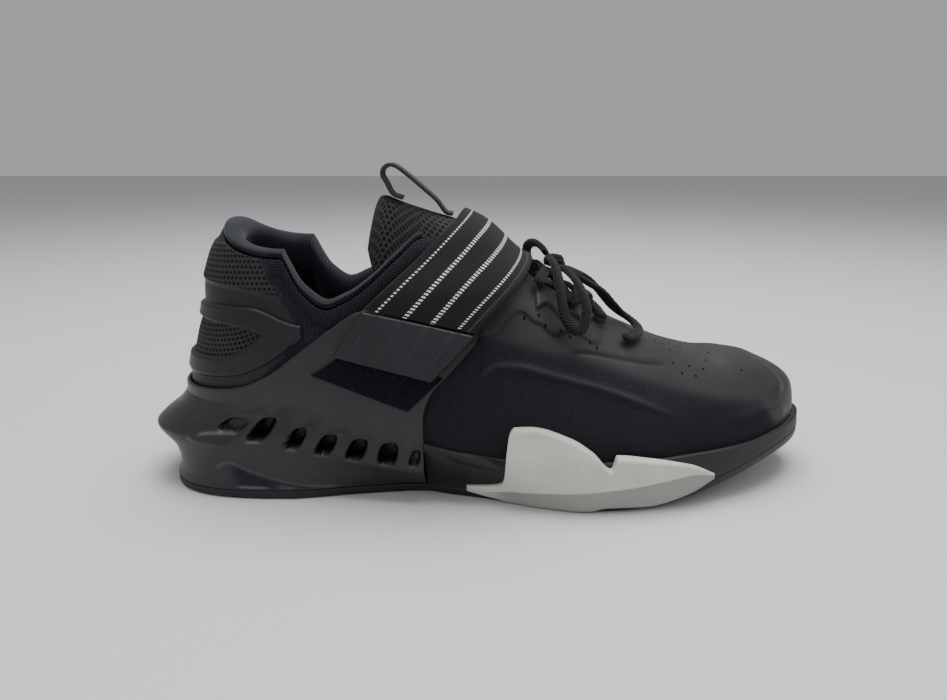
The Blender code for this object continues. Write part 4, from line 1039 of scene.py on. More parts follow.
def make_upper():
    rows = 116
    side, turn = ring_turns(TOE_END)
    line = Lines(side[:, None], turn[:, None])
    foot, rise = arch(line.x)[2:]
    top_angle = np.arcsin(np.minimum((line.edge_height() - foot) / rise, 1.0) ** (ARCH_ROUNDNESS / 2))
    shares = np.sin(top_angle * np.linspace(0.0, 1.0, rows + 1)[None, :]) ** (2 / ARCH_ROUNDNESS)
    z = np.maximum(foot + rise * shares, foot + CLEARANCE)
    surface = line.point(z)
    below = line.edge_height() - z
    share = share_at(surface[..., 0])
    knit_rim = ease((share - KNIT_RIM[0]) / 0.02) * ease((KNIT_RIM[1] - share) / 0.02)
    knit_rim = knit_rim * ease((KNIT_DEPTH - below) / 0.0010)
    roll = np.sqrt(np.clip(1 - ((below - 0.0036) / 0.0046) ** 2, 0.0, 1.0))
    raised = upper_relief(surface[..., 0], z) + KNIT_ROLL * knit_rim * roll
    outer = line.point(z, raised)
    inner_rows = 16
    pick = np.linspace(rows, 0, inner_rows).round().astype(int)
    inner = line.point(z[:, pick], -UPPER_WALL)
    grid = np.concatenate([outer, inner], 1)
    flat_x = np.concatenate([surface[..., 0], surface[:, pick, 0]], 1)
    flat_z = np.concatenate([z, z[:, pick]], 1)
    outside = np.concatenate([np.ones_like(z), np.zeros_like(z[:, pick])], 1)
    marks = {
        "lower": zone(flat_x, flat_z, LOWER_ZONE, 0.0035),
        "quarter": ease((x_at(0.43) - flat_x) / 0.002),
        "smooth": ease((flat_x - x_at(0.72)) / 0.030),
        "pillow": zone(flat_x, flat_z, PILLOW, 0.0006) * outside,
        "cap": zone(flat_x, flat_z, CAP, 0.0006) * outside,
        "rim": np.concatenate([knit_rim, np.zeros_like(z[:, pick])], 1),
        "seam": strongest(flat_x, flat_z, SEAMS) * outside,
        # Painted highlight along the ridge
        "ridge_highlight": stroke(flat_x, flat_z, RIDGE, 0.0008, 0.2) * outside,
    }
    made = grid_mesh("upper_shell", grid, wrap_n=True, wrap_m=True, marks=marks)
    return dress(welded(made), upper_look(), "textile", "upper")


def upper_look():
    look = Look("upper")
    u, v = look.uv()
    lower, quarter, pillow, cap, rim, seam, smooth, ridge_highlight = [
        look.mark(mark) for mark in ("lower", "quarter", "pillow", "cap", "rim", "seam", "smooth", "ridge_highlight")
    ]
    fine = look.noise(1300.0, 2.0)
    broad = look.noise(30.0, 4.0)
    woven = weave_height(look, u, v, 12.0)
    wobble = look.times(look.wave(v, 4.2), 0.035)
    rib = look.wave(look.plus(u, wobble), 8.0)
    holes = hole_grid(look, u, v, 4.4)
    links = knit_links(look, u, v)
    open_knit = look.times(quarter, look.rest(look.sum("MAXIMUM", cap, rim)))
    look.raise_by(look.times(rib, open_knit), 0.0003)
    woven = look.times(woven, look.rest(smooth))
    look.raise_by(look.times(woven, lower), 0.00016)
    look.raise_by(look.times(holes, pillow), -0.0007)
    look.raise_by(look.times(links, rim), 0.0005)
    look.raise_by(look.cells(1500.0), 0.00007)
    look.raise_by(fine, 0.00004)
    tone = look.ramp(fine, 0.3, 0.7)
    patches = look.ramp(broad, 0.3, 0.7)
    colour = look.colours(patches, *LEATHER)
    ribbed = look.times(rib, look.ramp(fine, 0.2, 0.6))
    between_holes = look.colours(fine, (0.022, 0.022, 0.023), (0.048, 0.048, 0.049))
    fades = (
        (lower, look.colours(look.times(woven, tone), (0.0045, 0.005, 0.0075), (0.015, 0.016, 0.021))),
        (quarter, look.colours(ribbed, (0.004, 0.0045, 0.008), (0.028, 0.030, 0.042))),
        (cap, look.colours(patches, (0.011, 0.011, 0.013), (0.016, 0.0165, 0.019))),
        (rim, look.colours(look.times(links, tone), *KNIT)),
        # Mesh of the pillow, with painted shade in its holes
        (pillow, look.colours(holes, between_holes, HOLE_SHADE)),
        (seam, (0.002, 0.002, 0.002)),
        # Painted highlight along the ridge, lighter than the cloth
        (look.times(ridge_highlight, 0.7), (0.040, 0.040, 0.043)),
    )
    cloth = quarter
    for mark, tint in fades:
        colour = look.colours(mark, colour, tint)
    for mark in (lower, pillow, rim):
        cloth = look.sum("MAXIMUM", cloth, mark)
    cloth = look.times(cloth, look.rest(cap))
    rough = look.ramp(cloth, 0.0, 1.0, 0.48, 0.85)
    return look.finish(colour, rough, 0.3)


make_upper()


# Pinholes of the vamp as (share of LENGTH, share of BALL_WIDTH from the middle), the same on both sides
PINHOLES = (
    (0.565, 0.315), (0.585, 0.292), (0.594, 0.309), (0.616, 0.302), (0.630, 0.304), (0.659, 0.290),
    (0.669, 0.297), (0.771, 0.090), (0.784, 0.089), (0.799, 0.041), (0.791, 0.134), (0.787, 0.230),
    (0.798, 0.269), (0.813, 0.220), (0.819, 0.265), (0.835, 0.218), (0.815, 0.059), (0.839, 0.081),
    (0.859, 0.072), (0.900, 0.183), (0.846, 0.150),
)


def make_pinholes():
    turn = np.linspace(0.0, math.tau, 14, endpoint=False)
    rings = []
    for side in (OUTER_SIDE, INNER_SIDE):
        for along, across in PINHOLES:
            x = x_at(along) + PINHOLE_RADIUS * np.cos(turn)
            y = arch(np.array(x_at(along)))[0] + side * across * BALL_WIDTH + PINHOLE_RADIUS * np.sin(turn)
            rings.append(over(x, y, PINHOLE_LIFT + upper_relief(x, over(x, y, 0.0)[..., 2])))
    points = np.concatenate(rings, 0)
    faces = np.arange(len(points)).reshape(-1, len(turn))
    made = mesh_from("vamp_pinholes", points, faces)
    look = Look("pinhole")
    # Each pinhole is a dark disc: painted shade in the hole
    colour = look.colours(look.noise(900.0, 2.0), (0.0015, 0.0015, 0.0015), (0.003, 0.003, 0.003))
    return dress(made, look.finish(colour, 0.9, 0.1), "textile")


make_pinholes()


# Heel frame

SHELF_RIDGE = ((0.074, 0.231), (0.099, 0.215), (0.143, 0.211), (0.162, 0.249), (0.185, 0.294), (0.207, 0.335))
SHELF_GLINT = ((0.092, 0.236), (0.118, 0.250), (0.142, 0.252))
CREASE = (
    (0.1165, 0.111), (0.133, 0.134), (0.1455, 0.137), (0.172, 0.108), (0.215, 0.071), (0.262, 0.050),
    (0.305, 0.043),
)
BASE_GLINT = ((0.146, 0.047), (0.170, 0.046), (0.205, 0.045))
FRAME_FOLDS = (Fold(SHELF_RIDGE, 0.0010, 0.0016, 0.15), Fold(CREASE, 0.0004, 0.0007, 0.08))
# Painted highlights along the shelf, the base and the crease
GLINTS = (
    Fold(SHELF_GLINT, 1.0, 0.0006, 0.2), Fold(BASE_GLINT, 1.0, 0.0005, 0.3), Fold(CREASE, 0.5, 0.0006, 0.08),
)


def window_carve(x, z):
    """Shares inside the frame's windows, their depths, the flutes over them and the painted highlights along
    the ledges under them.
    """
    shape = np.broadcast(x, z).shape
    carve, deep, flute, ledge_glint = np.zeros(shape), np.zeros(shape), np.zeros(shape), np.zeros(shape)
    for window in WINDOWS:
        half_wide = window.wide * WINDOW_WIDTH / 2
        half_tall = window.tall * WINDOW_HEIGHT / 2
        up = z - window.height * INSTEP_HEIGHT
        along = x - x_at(window.along) - window.lean * up
        far = np.abs(along / half_wide) ** 3 + np.abs(up / half_tall) ** 3
        inside = ease((1.25 - far) / np.where(up > 0, 1.1, 0.4))
        deep = np.where(inside > carve, window.deep, deep)
        carve = np.maximum(carve, inside)
        rise = (up - half_tall * 0.5) / FLUTE_HEIGHT
        beside = np.exp(-(along / (half_wide * 1.1)) ** 2)
        flute = np.maximum(flute, beside * ease(rise / 0.3) * ease((1 - rise) / 0.7))
        # Painted highlight along the ledge under each window, strongest under the rear windows
        under = np.exp(-((up + half_tall * 1.1) / 0.0005) ** 2) * ease((half_wide - np.abs(along)) / 0.0015)
        ledge_glint = np.maximum(ledge_glint, under * np.clip(1.4 - window.along * 3.0, 0.3, 1.0))
    return carve, deep, flute, ledge_glint


def cage_relief(x, z):
    """Shelf ridge, crease and the hollow facet under it, in metres outwards, and the facet's share."""
    share = share_at(x)
    crease = INSTEP_HEIGHT * line_at(CREASE, share)
    base = sole_top(x) + CLEARANCE
    fall = np.clip((z - base) / np.maximum(crease - base, 0.0008), 0.0, 1.0)
    facet = ease((crease - z) / 0.0008) * ease((share - 0.132) / 0.025) * ease((0.300 - share) / 0.08)
    return folded(x, z, FRAME_FOLDS) - FACET_DEPTH * facet * fall, facet


def lip_height(x):
    return INSTEP_HEIGHT * smooth_read(LIP, "along", "height", share_at(x))


def side_view(outline, z):
    """Station of a side-view line at a height."""
    stations, heights = zip(*laid_out(outline))
    return np.interp(z, heights, stations)


def ledge_height(x):
    return HEEL_BED_HEIGHT * floor("rim", x)


def sole_top(x):
    return TOE_SPRING * floor("spring", x) + OUTSOLE_THICKNESS


def wing_rows(line, offset, steps):
    """Rows up the wing. Its top depends on where the lean moves a line, so both are found in a few passes."""
    t = np.linspace(0.0, 1.0, steps + 1)[None, :]
    low = ledge_height(line.x) * FRAME_LEVELS[-1].rise + 0.006
    side = line.turn >= 1.0
    lean = np.where(side, ease((share_at(line.x) - HEEL_CENTRE) / (FRAME_FRONT - HEEL_CENTRE)), 0.0)
    rear_x = line.x - rear_reach(REAR_COLLAR_HEIGHT * 0.4) * line.back
    x = np.broadcast_to(line.x, (len(line.x), steps + 1))
    for _ in range(6):
        high = lip_height(np.where(side, x, rear_x))
        z = mix(low, high, t)
        x = line.x + lean * (side_view(WING_FRONT, z) - x_at(FRAME_FRONT))
    leaned = Lines(line.side, line.turn)
    leaned.x = np.where(side, x, line.x)
    return leaned.point(z, offset)


def finer(grid, steps):
    """A grid with Catmull-Rom points between its rows."""
    path = smooth_path(list(np.moveaxis(grid, 1, 0)), steps)
    return np.moveaxis(path, 0, 1)


def cage_look():
    look = Look("cage")
    fine = look.noise(1500.0, 2.0)
    broad = look.noise(24.0, 5.0, 0.6)
    facet_mark = look.mark("facet")
    glint_mark = look.mark("ledge_glint")
    look.raise_by(fine, 0.00003)
    look.raise_by(look.noise(120.0, 3.0), 0.0001)
    colour = look.colours(look.ramp(broad, 0.35, 0.7), (0.015, 0.0152, 0.0158), (0.024, 0.0243, 0.0255))
    colour = look.colours(facet_mark, colour, (0.006, 0.007, 0.016))
    # Painted shade inside the carved windows
    colour = look.colours(look.mark("deep"), colour, (0.003, 0.003, 0.004))
    # Painted highlights along the ledges and glint lines
    colour = look.colours(look.times(glint_mark, 0.8), colour, (0.13, 0.13, 0.135))
    rough = look.ramp(broad, 0.3, 0.7, 0.36, 0.46)
    rough = look.sum("SUBTRACT", rough, look.times(facet_mark, 0.16))
    return look.finish(colour, rough, 0.4)


def make_heel_frame():
    side, turn = ring_turns(float(turn_at(FRAME_FRONT)), heel=130, side=130)
    line = Lines(side[:, None], turn[:, None])
    outer_offset = CLEARANCE + FRAME_WALL
    levels = []
    for i, level in enumerate(FRAME_LEVELS):
        x, y = line.outline(level.reach, level.blend, level.bulge * BALL_WIDTH)
        z = ledge_height(line.x) * level.rise
        if i == 0:
            z = sole_top(line.x) + CLEARANCE
        levels.append(spot(x, y, z))
    control = np.concatenate(levels + [wing_rows(line, outer_offset, 7)], 1)
    outside = finer(control, 9)
    x = outside[..., 0]
    z = outside[..., 2]
    relief, facet = cage_relief(x, z)
    carve, deep, flute, ledge_glint = window_carve(x, z)
    outside = outside + facing(outside) * (relief - FLUTE_DEPTH * flute)[..., None]
    wall = side_point(side[:, None], x, np.maximum(z, arch(x)[2] + CLEARANCE))[..., 1]
    outside[..., 1] = mix(outside[..., 1], wall - side[:, None] * WINDOW_DEPTH * deep, carve)
    steps = 5
    lip = []
    top = outside[:, -1:]
    inner_top = wing_rows(line, CLEARANCE, 1)[:, -1:]
    for k in range(1, steps):
        angle = math.pi * k / steps
        bow = mix(top, inner_top, (1 - math.cos(angle)) / 2)
        bow[..., 2] += 0.0007 * math.sin(angle)
        lip.append(bow)
    inside = wing_rows(line, CLEARANCE, 10)[:, ::-1]
    foot = line.point(line.foot_height() + CLEARANCE, CLEARANCE)
    foot[..., 2] = line.foot_height()
    middle_low = spot(line.x, BALL_WIDTH * floor("centre", line.x), levels[0][..., 2])
    middle_high = spot(line.x, arch(line.x)[0], foot[..., 2])
    grid = np.concatenate([middle_low, outside] + lip + [inside, foot, middle_high], 1)
    # Painted highlights under the windows and along the glint lines
    # Painted shade inside the windows
    marks = {"deep": carve, "ledge_glint": np.maximum(ledge_glint * (1 - carve), strongest(x, z, GLINTS)), "facet": facet}
    for mark, values in marks.items():
        whole = np.zeros(grid.shape[:2])
        whole[:, 1:1 + values.shape[1]] = values
        marks[mark] = whole
    made = grid_mesh("heel_cage", grid, marks=marks)
    material = cage_look()
    return dress(welded(made), material, "frame_plastic", "heel_frame")


make_heel_frame()


# Sole

def rand_height(x):
    return HEEL_BED_HEIGHT * floor("side", x)


def wall_point(line, z, lift):
    """Outside of the midsole's wall and of the upper above it, moved out by lift."""
    low = sole_top(line.x) + CLEARANCE
    high = rand_height(line.x)
    share = np.minimum((z - low) / (high - low), 1.0)
    x, y = line.outline(1.0, 0.0, 0.0)
    above = ease((z - high) / (0.4 * HEEL_BED_HEIGHT))
    wall = mix(CLEARANCE + MIDSOLE_WALL, 0.0, above)
    foot = line.point(np.maximum(z, line.foot_height() + CLEARANCE), wall + lift)
    blend = ease(np.maximum(share, 0.0))
    px = mix(x, foot[..., 0], blend)
    py = mix(y + line.side * lift, foot[..., 1], blend)
    return spot(px, py, z)


GROOVES = (
    Fold(((0.430, 0.238), (0.455, 0.222), (0.490, 0.204), (0.539, 0.176), (0.573, 0.166)), 1.0, 0.0011, 0.3),
    Fold(((0.440, 0.203), (0.490, 0.158), (0.539, 0.134)), 1.0, 0.0010, 0.3),
)


def make_midsole():
    side, turn = ring_turns(TOE_END, heel=2, side=220, toe=60)
    keep = turn >= float(turn_at(FRAME_FRONT))
    grids = []
    for sign in (OUTER_SIDE, INNER_SIDE):
        chosen = turn[keep & (side == sign)]
        line = Lines(np.full((len(chosen), 1), sign), chosen[:, None])
        low = sole_top(line.x) + CLEARANCE
        high = rand_height(line.x)
        t = np.linspace(0.0, 1.0, 40)[None, :]
        z = mix(low, high, t)
        flat = wall_point(line, z, 0.0)
        wall = wall_point(line, z, -GROOVE_DEPTH * strongest(flat[..., 0], z, GROOVES))
        foot = line.point(high, CLEARANCE * 0.5)
        grids.append(np.concatenate([wall, foot], 1))
    ends = [0 if grid[0, 0, 0] > grid[-1, 0, 0] else -1 for grid in grids]
    middle = (grids[0][ends[0]] + grids[1][ends[1]])[None] / 2
    grids = [
        np.concatenate([middle, grid] if end == 0 else [grid, middle], 0) for grid, end in zip(grids, ends)
    ]
    pieces = [grid_mesh("midsole_outer", grids[0]), grid_mesh("midsole_inner", grids[1], flip=True)]
    material = plastic_look("foam", (0.008, 0.008, 0.009), (0.013, 0.013, 0.015), 0.55)
    for made in pieces:
        dress(made, material, "foam", "midsole")


make_midsole()


def make_outsole():
    side, turn = ring_turns(TOE_END, heel=60, side=150, toe=60)
    line = Lines(side[:, None], turn[:, None])
    low = TOE_SPRING * floor("spring", line.x)
    x0, y0 = line.outline(1.165, 0.0, -0.014 * BALL_WIDTH)
    x1, y1 = line.outline(1.215, 0.0, 0.0)
    middle_x = line.sole_x
    middle_y = BALL_WIDTH * floor("centre", line.sole_x)
    across = np.linspace(0.0, 1.0, 14)[None, :]
    under_x = mix(middle_x, x0, across)
    under_y = mix(middle_y, y0, across)
    groove = np.zeros(np.broadcast(under_x, under_y).shape)
    for share in (0.10, 0.155, 0.21, 0.60, 0.648, 0.696):
        slant = 0.132 if share > 0.5 else 0.0
        groove = np.maximum(groove, ease((0.0018 - np.abs(under_x - x_at(share) - slant * under_y)) / 0.0008))
    under = spot(under_x, under_y, low + TREAD_DEPTH * groove)
    edge = []
    for share in (0.3, 0.7, 1.0):
        angle = share * math.pi / 2
        rise = low + SOLE_EDGE * (1 - math.cos(angle))
        edge.append(spot(mix(x0, x1, math.sin(angle)), mix(y0, y1, math.sin(angle)), rise))
    for rise in (0.4, 0.75, 1.0):
        edge.append(spot(x1, y1, low + mix(SOLE_EDGE, OUTSOLE_THICKNESS, rise)))
    top = spot(middle_x, middle_y, low + OUTSOLE_THICKNESS)
    grid = np.concatenate([under] + edge + [top], 1)
    made = grid_mesh("outsole_sheet", grid, wrap_n=True)
    material = plastic_look("outsole", (0.007, 0.007, 0.008), (0.014, 0.014, 0.015), 0.5, 0.00006)
    return dress(welded(made), material, "black_rubber", "outsole")


make_outsole()


def make_insole():
    side, turn = ring_turns(TOE_END, heel=40, side=90, toe=30)
    line = Lines(side[:, None], turn[:, None])
    low = line.foot_height() + CLEARANCE
    high = low + INSOLE_THICKNESS
    inset = -(UPPER_WALL + 2 * CLEARANCE)
    foot = line.point(low, inset)
    rim = line.point(high, inset)
    middle, under = [spot(line.x, arch(line.x)[0], edge[..., 2]) for edge in (rim, foot)]
    across = np.linspace(0.0, 1.0, 14)[None, :, None]
    bed = mix(middle, rim, across)
    made = grid_mesh("insole_bed", np.concatenate([bed, foot, under], 1), wrap_n=True, flip=True)
    material = textile_look("insole", (0.008, 0.008, 0.010), (0.024, 0.025, 0.029), 7.0)
    return dress(welded(made), material, "knit", "insole")


make_insole()


LEDGE = (
    (0.485, 0.030), (0.550, 0.060), (0.612, 0.080), (0.655, 0.092), (0.715, 0.108), (0.797, 0.136),
    (0.835, 0.120),
)


def flange_look():
    look = Look("flange")
    specks = look.cells(900.0)
    big = look.noise(700.0, 1.0)
    dark = look.times(look.ramp(specks, 0.22, 0.12), look.ramp(big, 0.52, 0.60))
    broad = look.noise(40.0, 4.0)
    base = look.colours(look.ramp(broad, 0.3, 0.7), (0.50, 0.505, 0.45), (0.58, 0.585, 0.53))
    colour = look.colours(dark, base, (0.10, 0.10, 0.11))
    look.raise_by(look.noise(1200.0, 2.0), 0.00004)
    look.raise_by(look.noise(160.0, 3.0), 0.0001)
    # Painted shade on the band under the ledge crease, which faces down
    colour = look.colours(look.mark("under"), colour, (0.30, 0.30, 0.275))
    return look.finish(colour, 0.62, 0.4)


def make_wrap():
    """The pale flange, with a rounded edge and a ledge along its foot."""
    stretches = ((0.485, 24), (0.530, 60), (0.560, 90), (0.675, 50), (0.705, 99))
    ends = [start for start, _ in stretches[1:]] + [0.835]
    shares = [np.linspace(start, end, count, endpoint=False) for (start, count), end in zip(stretches, ends)]
    shares = np.concatenate(shares + [[ends[-1]]])
    line = Lines(np.full((len(shares), 1), OUTER_SIDE), turn_at(shares)[:, None])
    line.turn = np.minimum(line.turn, 3.0)
    low = np.maximum(HEEL_BED_HEIGHT * smooth_read(WRAP, "along", "low", shares), 0.0002)[:, None]
    high = (HEEL_BED_HEIGHT * smooth_read(WRAP, "along", "high", shares))[:, None]
    t = (1 - np.cos(np.linspace(0.0, math.pi, 64)))[None, :] / 2
    z = mix(low, high, t)
    along = ((shares - WRAP[0].along) / (WRAP[-1].along - WRAP[0].along))[:, None]
    thick = WRAP_THICKNESS * (0.35 + 0.65 * np.sin(math.pi * np.clip(along, 0.04, 0.96)))
    near = np.minimum(z - low, high - z)
    ends = np.minimum(shares - shares[0], shares[-1] - shares)[:, None] * LENGTH
    full = rounded(np.minimum(near, ends), FLANGE_EDGE)
    crease = INSTEP_HEIGHT * line_at(LEDGE, shares)[:, None]
    under = ease((crease - z) / 0.0012) * ease(along / 0.2)
    band = np.clip((crease - z) / 0.007, 0.0, 1.0)
    outer = wall_point(line, z, OVERLAY_GAP + (thick - FLANGE_HOLLOW * under * mix(0.45, 1.0, band)) * full)
    rim_low = wall_point(line, low, 0.0)
    rim_high = wall_point(line, high, -0.0002)
    # The band under the ledge crease is hollowed and carries painted shade
    shade = np.concatenate([under[:, :1], under, under[:, -1:]], 1)
    made = grid_mesh("forefoot_flange", np.concatenate([rim_low, outer, rim_high], 1), marks={"under": shade})
    material = flange_look()
    return dress(made, material, "pale_rubber", "forefoot_wrap")


make_wrap()


# Heel: counter and collar

LEAF = (
    (-0.05, 0.655), (0.100, 0.652), (0.127, 0.649), (0.155, 0.645), (0.180, 0.636), (0.201, 0.620),
    (0.192, 0.596), (0.176, 0.563), (0.160, 0.540), (0.149, 0.527), (0.122, 0.518), (0.090, 0.512),
    (0.040, 0.503), (-0.05, 0.500),
)
STEP = ((-0.05, 0.450), (0.129, 0.457), (0.166, 0.466), (0.203, 0.510), (0.234, 0.568), (0.252, 0.623))


def counter_look():
    look = Look("counter")
    u, v = look.uv()
    window = look.mark("window")
    holes = hole_grid(look, u, v, 4.6)
    broad = look.noise(30.0, 4.0)
    fine = look.noise(1500.0, 2.0)
    look.raise_by(look.times(holes, window), -0.0006)
    look.raise_by(fine, 0.00003)
    shell = look.colours(look.ramp(broad, 0.3, 0.7), (0.011, 0.011, 0.013), (0.016, 0.016, 0.019))
    # Mesh in the counter's window, with painted shade in its holes
    mesh = look.colours(holes, (0.034, 0.034, 0.035), HOLE_SHADE)
    colour = look.colours(window, shell, mesh)
    rough = look.ramp(window, 0.0, 1.0, 0.42, 0.85)
    return look.finish(colour, rough)


def make_counter():
    side, turn = ring_turns(float(turn_at(COUNTER_FRONT)), heel=130, side=22)
    line = Lines(side[:, None], turn[:, None])
    z0 = INSTEP_HEIGHT * LEAF_HEIGHT
    x = line.point(np.full_like(line.x, z0))[..., 0]
    around = np.where(line.turn < 1.0, line.turn, 1.0)
    top = mix(COUNTER_TOP[0], COUNTER_TOP[1], ease(around / 0.6))
    top = mix(top, COUNTER_TOP[2], ease((share_at(x) - 0.18) / (COUNTER_FRONT - 0.18)))
    high = INSTEP_HEIGHT * top
    low = np.minimum(lip_height(x) + COUNTER_RISE, high - 0.004)
    t = np.linspace(0.0, 1.0, 60)[None, :]
    z = mix(low, high, t)
    near = np.minimum(z - low, high - z)
    ends = np.abs(np.arange(len(turn)) - (len(turn) - 1) / 2)
    front = ((len(turn) - 1) / 2 - ends)[:, None] * 0.0006
    near = np.minimum(near, front)
    full = rounded(near, COUNTER_EDGE)
    surface = line.point(z)
    across = np.abs(surface[..., 1]) / LEAF_HALF_WIDTH
    leaf = LEAF_HALF_HEIGHT * np.maximum(1 - across ** 2, 0.0)
    middle = z0 + 0.20 * across * LEAF_HALF_WIDTH
    hole = ease(0.5 + (leaf - np.abs(z - middle)) / 0.0012) * (surface[..., 0] < x_at(0.195))
    hole = np.maximum(hole, zone(surface[..., 0], z, LEAF, 0.0006))
    lower = ease((INSTEP_HEIGHT * line_at(STEP, share_at(surface[..., 0])) - z) / 0.0010)
    lift = (CLEARANCE + COUNTER_WALL) * full * (1 - hole) * (1 - 0.35 * lower) + 0.00015
    made = grid_mesh("heel_counter_skin", line.point(z, lift), marks={"window": hole})
    material = counter_look()
    return dress(made, material, "overlay", "heel_counter")


make_counter()


def collar_look():
    look = Look("collar")
    u, v = look.uv()
    rim = look.mark("rim")
    fine = look.noise(1200.0, 2.0)
    links = knit_links(look, u, v)
    look.raise_by(look.times(links, rim), 0.0004)
    look.raise_by(weave_height(look, u, v, 16.0), 0.00005)
    look.raise_by(fine, 0.00005)
    lining = look.colours(fine, (0.006, 0.007, 0.011), (0.014, 0.016, 0.024))
    knitted = look.colours(look.times(links, look.ramp(fine, 0.3, 0.7)), *KNIT)
    colour = look.colours(rim, lining, knitted)
    return look.finish(colour, 0.85, 0.25, Sheen_Weight=0.15, Sheen_Roughness=0.4)


def make_collar():
    side, turn = ring_turns(float(turn_at(FRAME_FRONT)), heel=70, side=90)
    line = Lines(side[:, None], turn[:, None])
    seat = UPPER_WALL + CLEARANCE
    edge = line.edge_height()
    thin = ease((share_at(line.x) - 0.30) / (FRAME_FRONT - 0.30))
    pad = np.where(line.turn < 1.0, COLLAR_PAD, COLLAR_PAD * mix(1.0, 0.42, thin))
    profile = (
        (-COLLAR_DEPTH, seat, 0.0), (-COLLAR_DEPTH * 0.5, seat, 0.0),
        (-CLEARANCE, seat, 0.0), (2 * CLEARANCE, 0.0022, 0.0),
        (2 * CLEARANCE + 0.0004, 0.0004, 0.0), (COLLAR_ROLL * 0.65, 0.0002, 0.0), (COLLAR_ROLL, seat, 0.2),
        (COLLAR_ROLL * 0.85, seat, 0.65), (0.0, seat, 1.0),
        (-COLLAR_DEPTH * 0.5, seat, 1.0), (-COLLAR_DEPTH * 0.9, seat, 0.55),
    )
    loops = [line.point(edge + rise, -(inset + share * pad)) for rise, inset, share in profile]
    control = np.concatenate(loops + [loops[0]], 1)
    grid = finer(control, 4)[:, :-1]
    level = grid[..., 2] - edge[:, :1]
    knit = ease((level + 0.0015) / 0.001) * ease((share_at(grid[..., 0]) - KNIT_RIM[0]) / 0.02)
    marks = {"rim": np.concatenate([knit[:1], knit[:1], knit, knit[-1:], knit[-1:]], 0)}
    made = grid_mesh("collar_pad", closed_ends(grid), wrap_m=True, marks=marks)
    material = collar_look()
    dress(made, material, "knit", "collar")
    return made


make_collar()


# Tongue, strap and their small parts

def tongue_look():
    look = Look("tongue")
    u, v = look.uv()
    holes = hole_grid(look, u, v, 4.0)
    fine = look.noise(1200.0, 2.0)
    look.raise_by(holes, -0.0007)
    look.raise_by(look.wave(v, 4.0), 0.0002)
    look.raise_by(fine, 0.0001)
    mesh = look.colours(fine, (0.018, 0.018, 0.019), (0.044, 0.044, 0.046))
    # Painted shade in the mesh's holes
    colour = look.colours(holes, mesh, HOLE_SHADE)
    place = look.node("ShaderNodeSeparateXYZ")
    look.tree.links.new(look.place(), place.inputs[0])
    x, y = place.outputs["X"], place.outputs["Y"]
    piping = look.ramp(look.far(y, 0.0024), 0.0009, 0.0006)
    shown = look.times(look.ramp(x, x_at(0.60), x_at(0.61)), look.ramp(x, x_at(0.735), x_at(0.725)))
    colour = look.colours(look.times(piping, shown), colour, (0.62, 0.62, 0.62))
    return look.finish(colour, 0.88, 0.2, Sheen_Weight=0.1, Sheen_Roughness=0.4)


def make_tongue():
    top = -(UPPER_WALL + 2 * CLEARANCE)
    shares = mix(TONGUE[0].along, TONGUE[-1].along, np.linspace(0.0, 1.0, 150) ** 1.3)
    turn = np.linspace(0.0, math.tau, 72, endpoint=False)
    x = x_at(shares)[:, None]
    centre = arch(x)[0]
    half = BALL_WIDTH * smooth_read(TONGUE, "along", "half", shares)[:, None]
    drop = INSTEP_HEIGHT * smooth_read(TONGUE, "along", "drop", shares)[:, None]
    across = np.cos(turn)[None, :]
    y = centre + half * across
    upper_face = np.maximum(np.sin(turn), 0.0)[None, :] ** 0.5
    lower_face = np.maximum(-np.sin(turn), 0.0)[None, :] ** 0.5
    thin = 1 - 0.55 * np.abs(across) ** 3
    middle = top - TONGUE_THICKNESS * thin / 2
    lift = middle + (upper_face - lower_face) * TONGUE_THICKNESS * thin / 2
    end = np.sqrt(np.clip(np.arange(150) / 9.0, 0.02, 1.0))[:, None]
    lift = middle + (lift - middle) * end
    sweep = TONGUE_SWEEP * (1 - ease((shares[:, None] - TONGUE[0].along) / 0.05))
    grid = over(x - sweep * np.abs(across) ** 1.5, y, lift)
    grid[..., 2] -= drop * across ** 2
    made = grid_mesh("tongue_pad", closed_ends(grid), wrap_m=True)
    material = tongue_look()
    dress(made, material, "textile", "tongue")
    return made


make_tongue()


def strap_lift(z):
    return mix(STRAP_LOW_LIFT, STRAP_TOP_LIFT, ease((z / INSTEP_HEIGHT - 0.74) / 0.16))


def strap_face(route_side, route_low, climb, across, lift):
    """Points of one face of the strap over a grid of climb (rows) and across (columns)."""
    rear, front = route_low
    x_low = x_at(mix(rear[0], front[0], across))
    z_low = INSTEP_HEIGHT * mix(rear[1], front[1], across)
    x_top = x_at(mix(STRAP_TOP[0], STRAP_TOP[1], across))
    turn = np.sin(climb * math.pi / 2)
    x = mix(x_low, x_top, turn)
    foot, rise = arch(x_top)[2:]
    z = mix(z_low, foot + rise, turn)
    centre, width = wall_at(x, z)
    surface = spot(x, centre + route_side * width, z)
    return pushed(surface, strap_lift(surface[..., 2]) + lift)


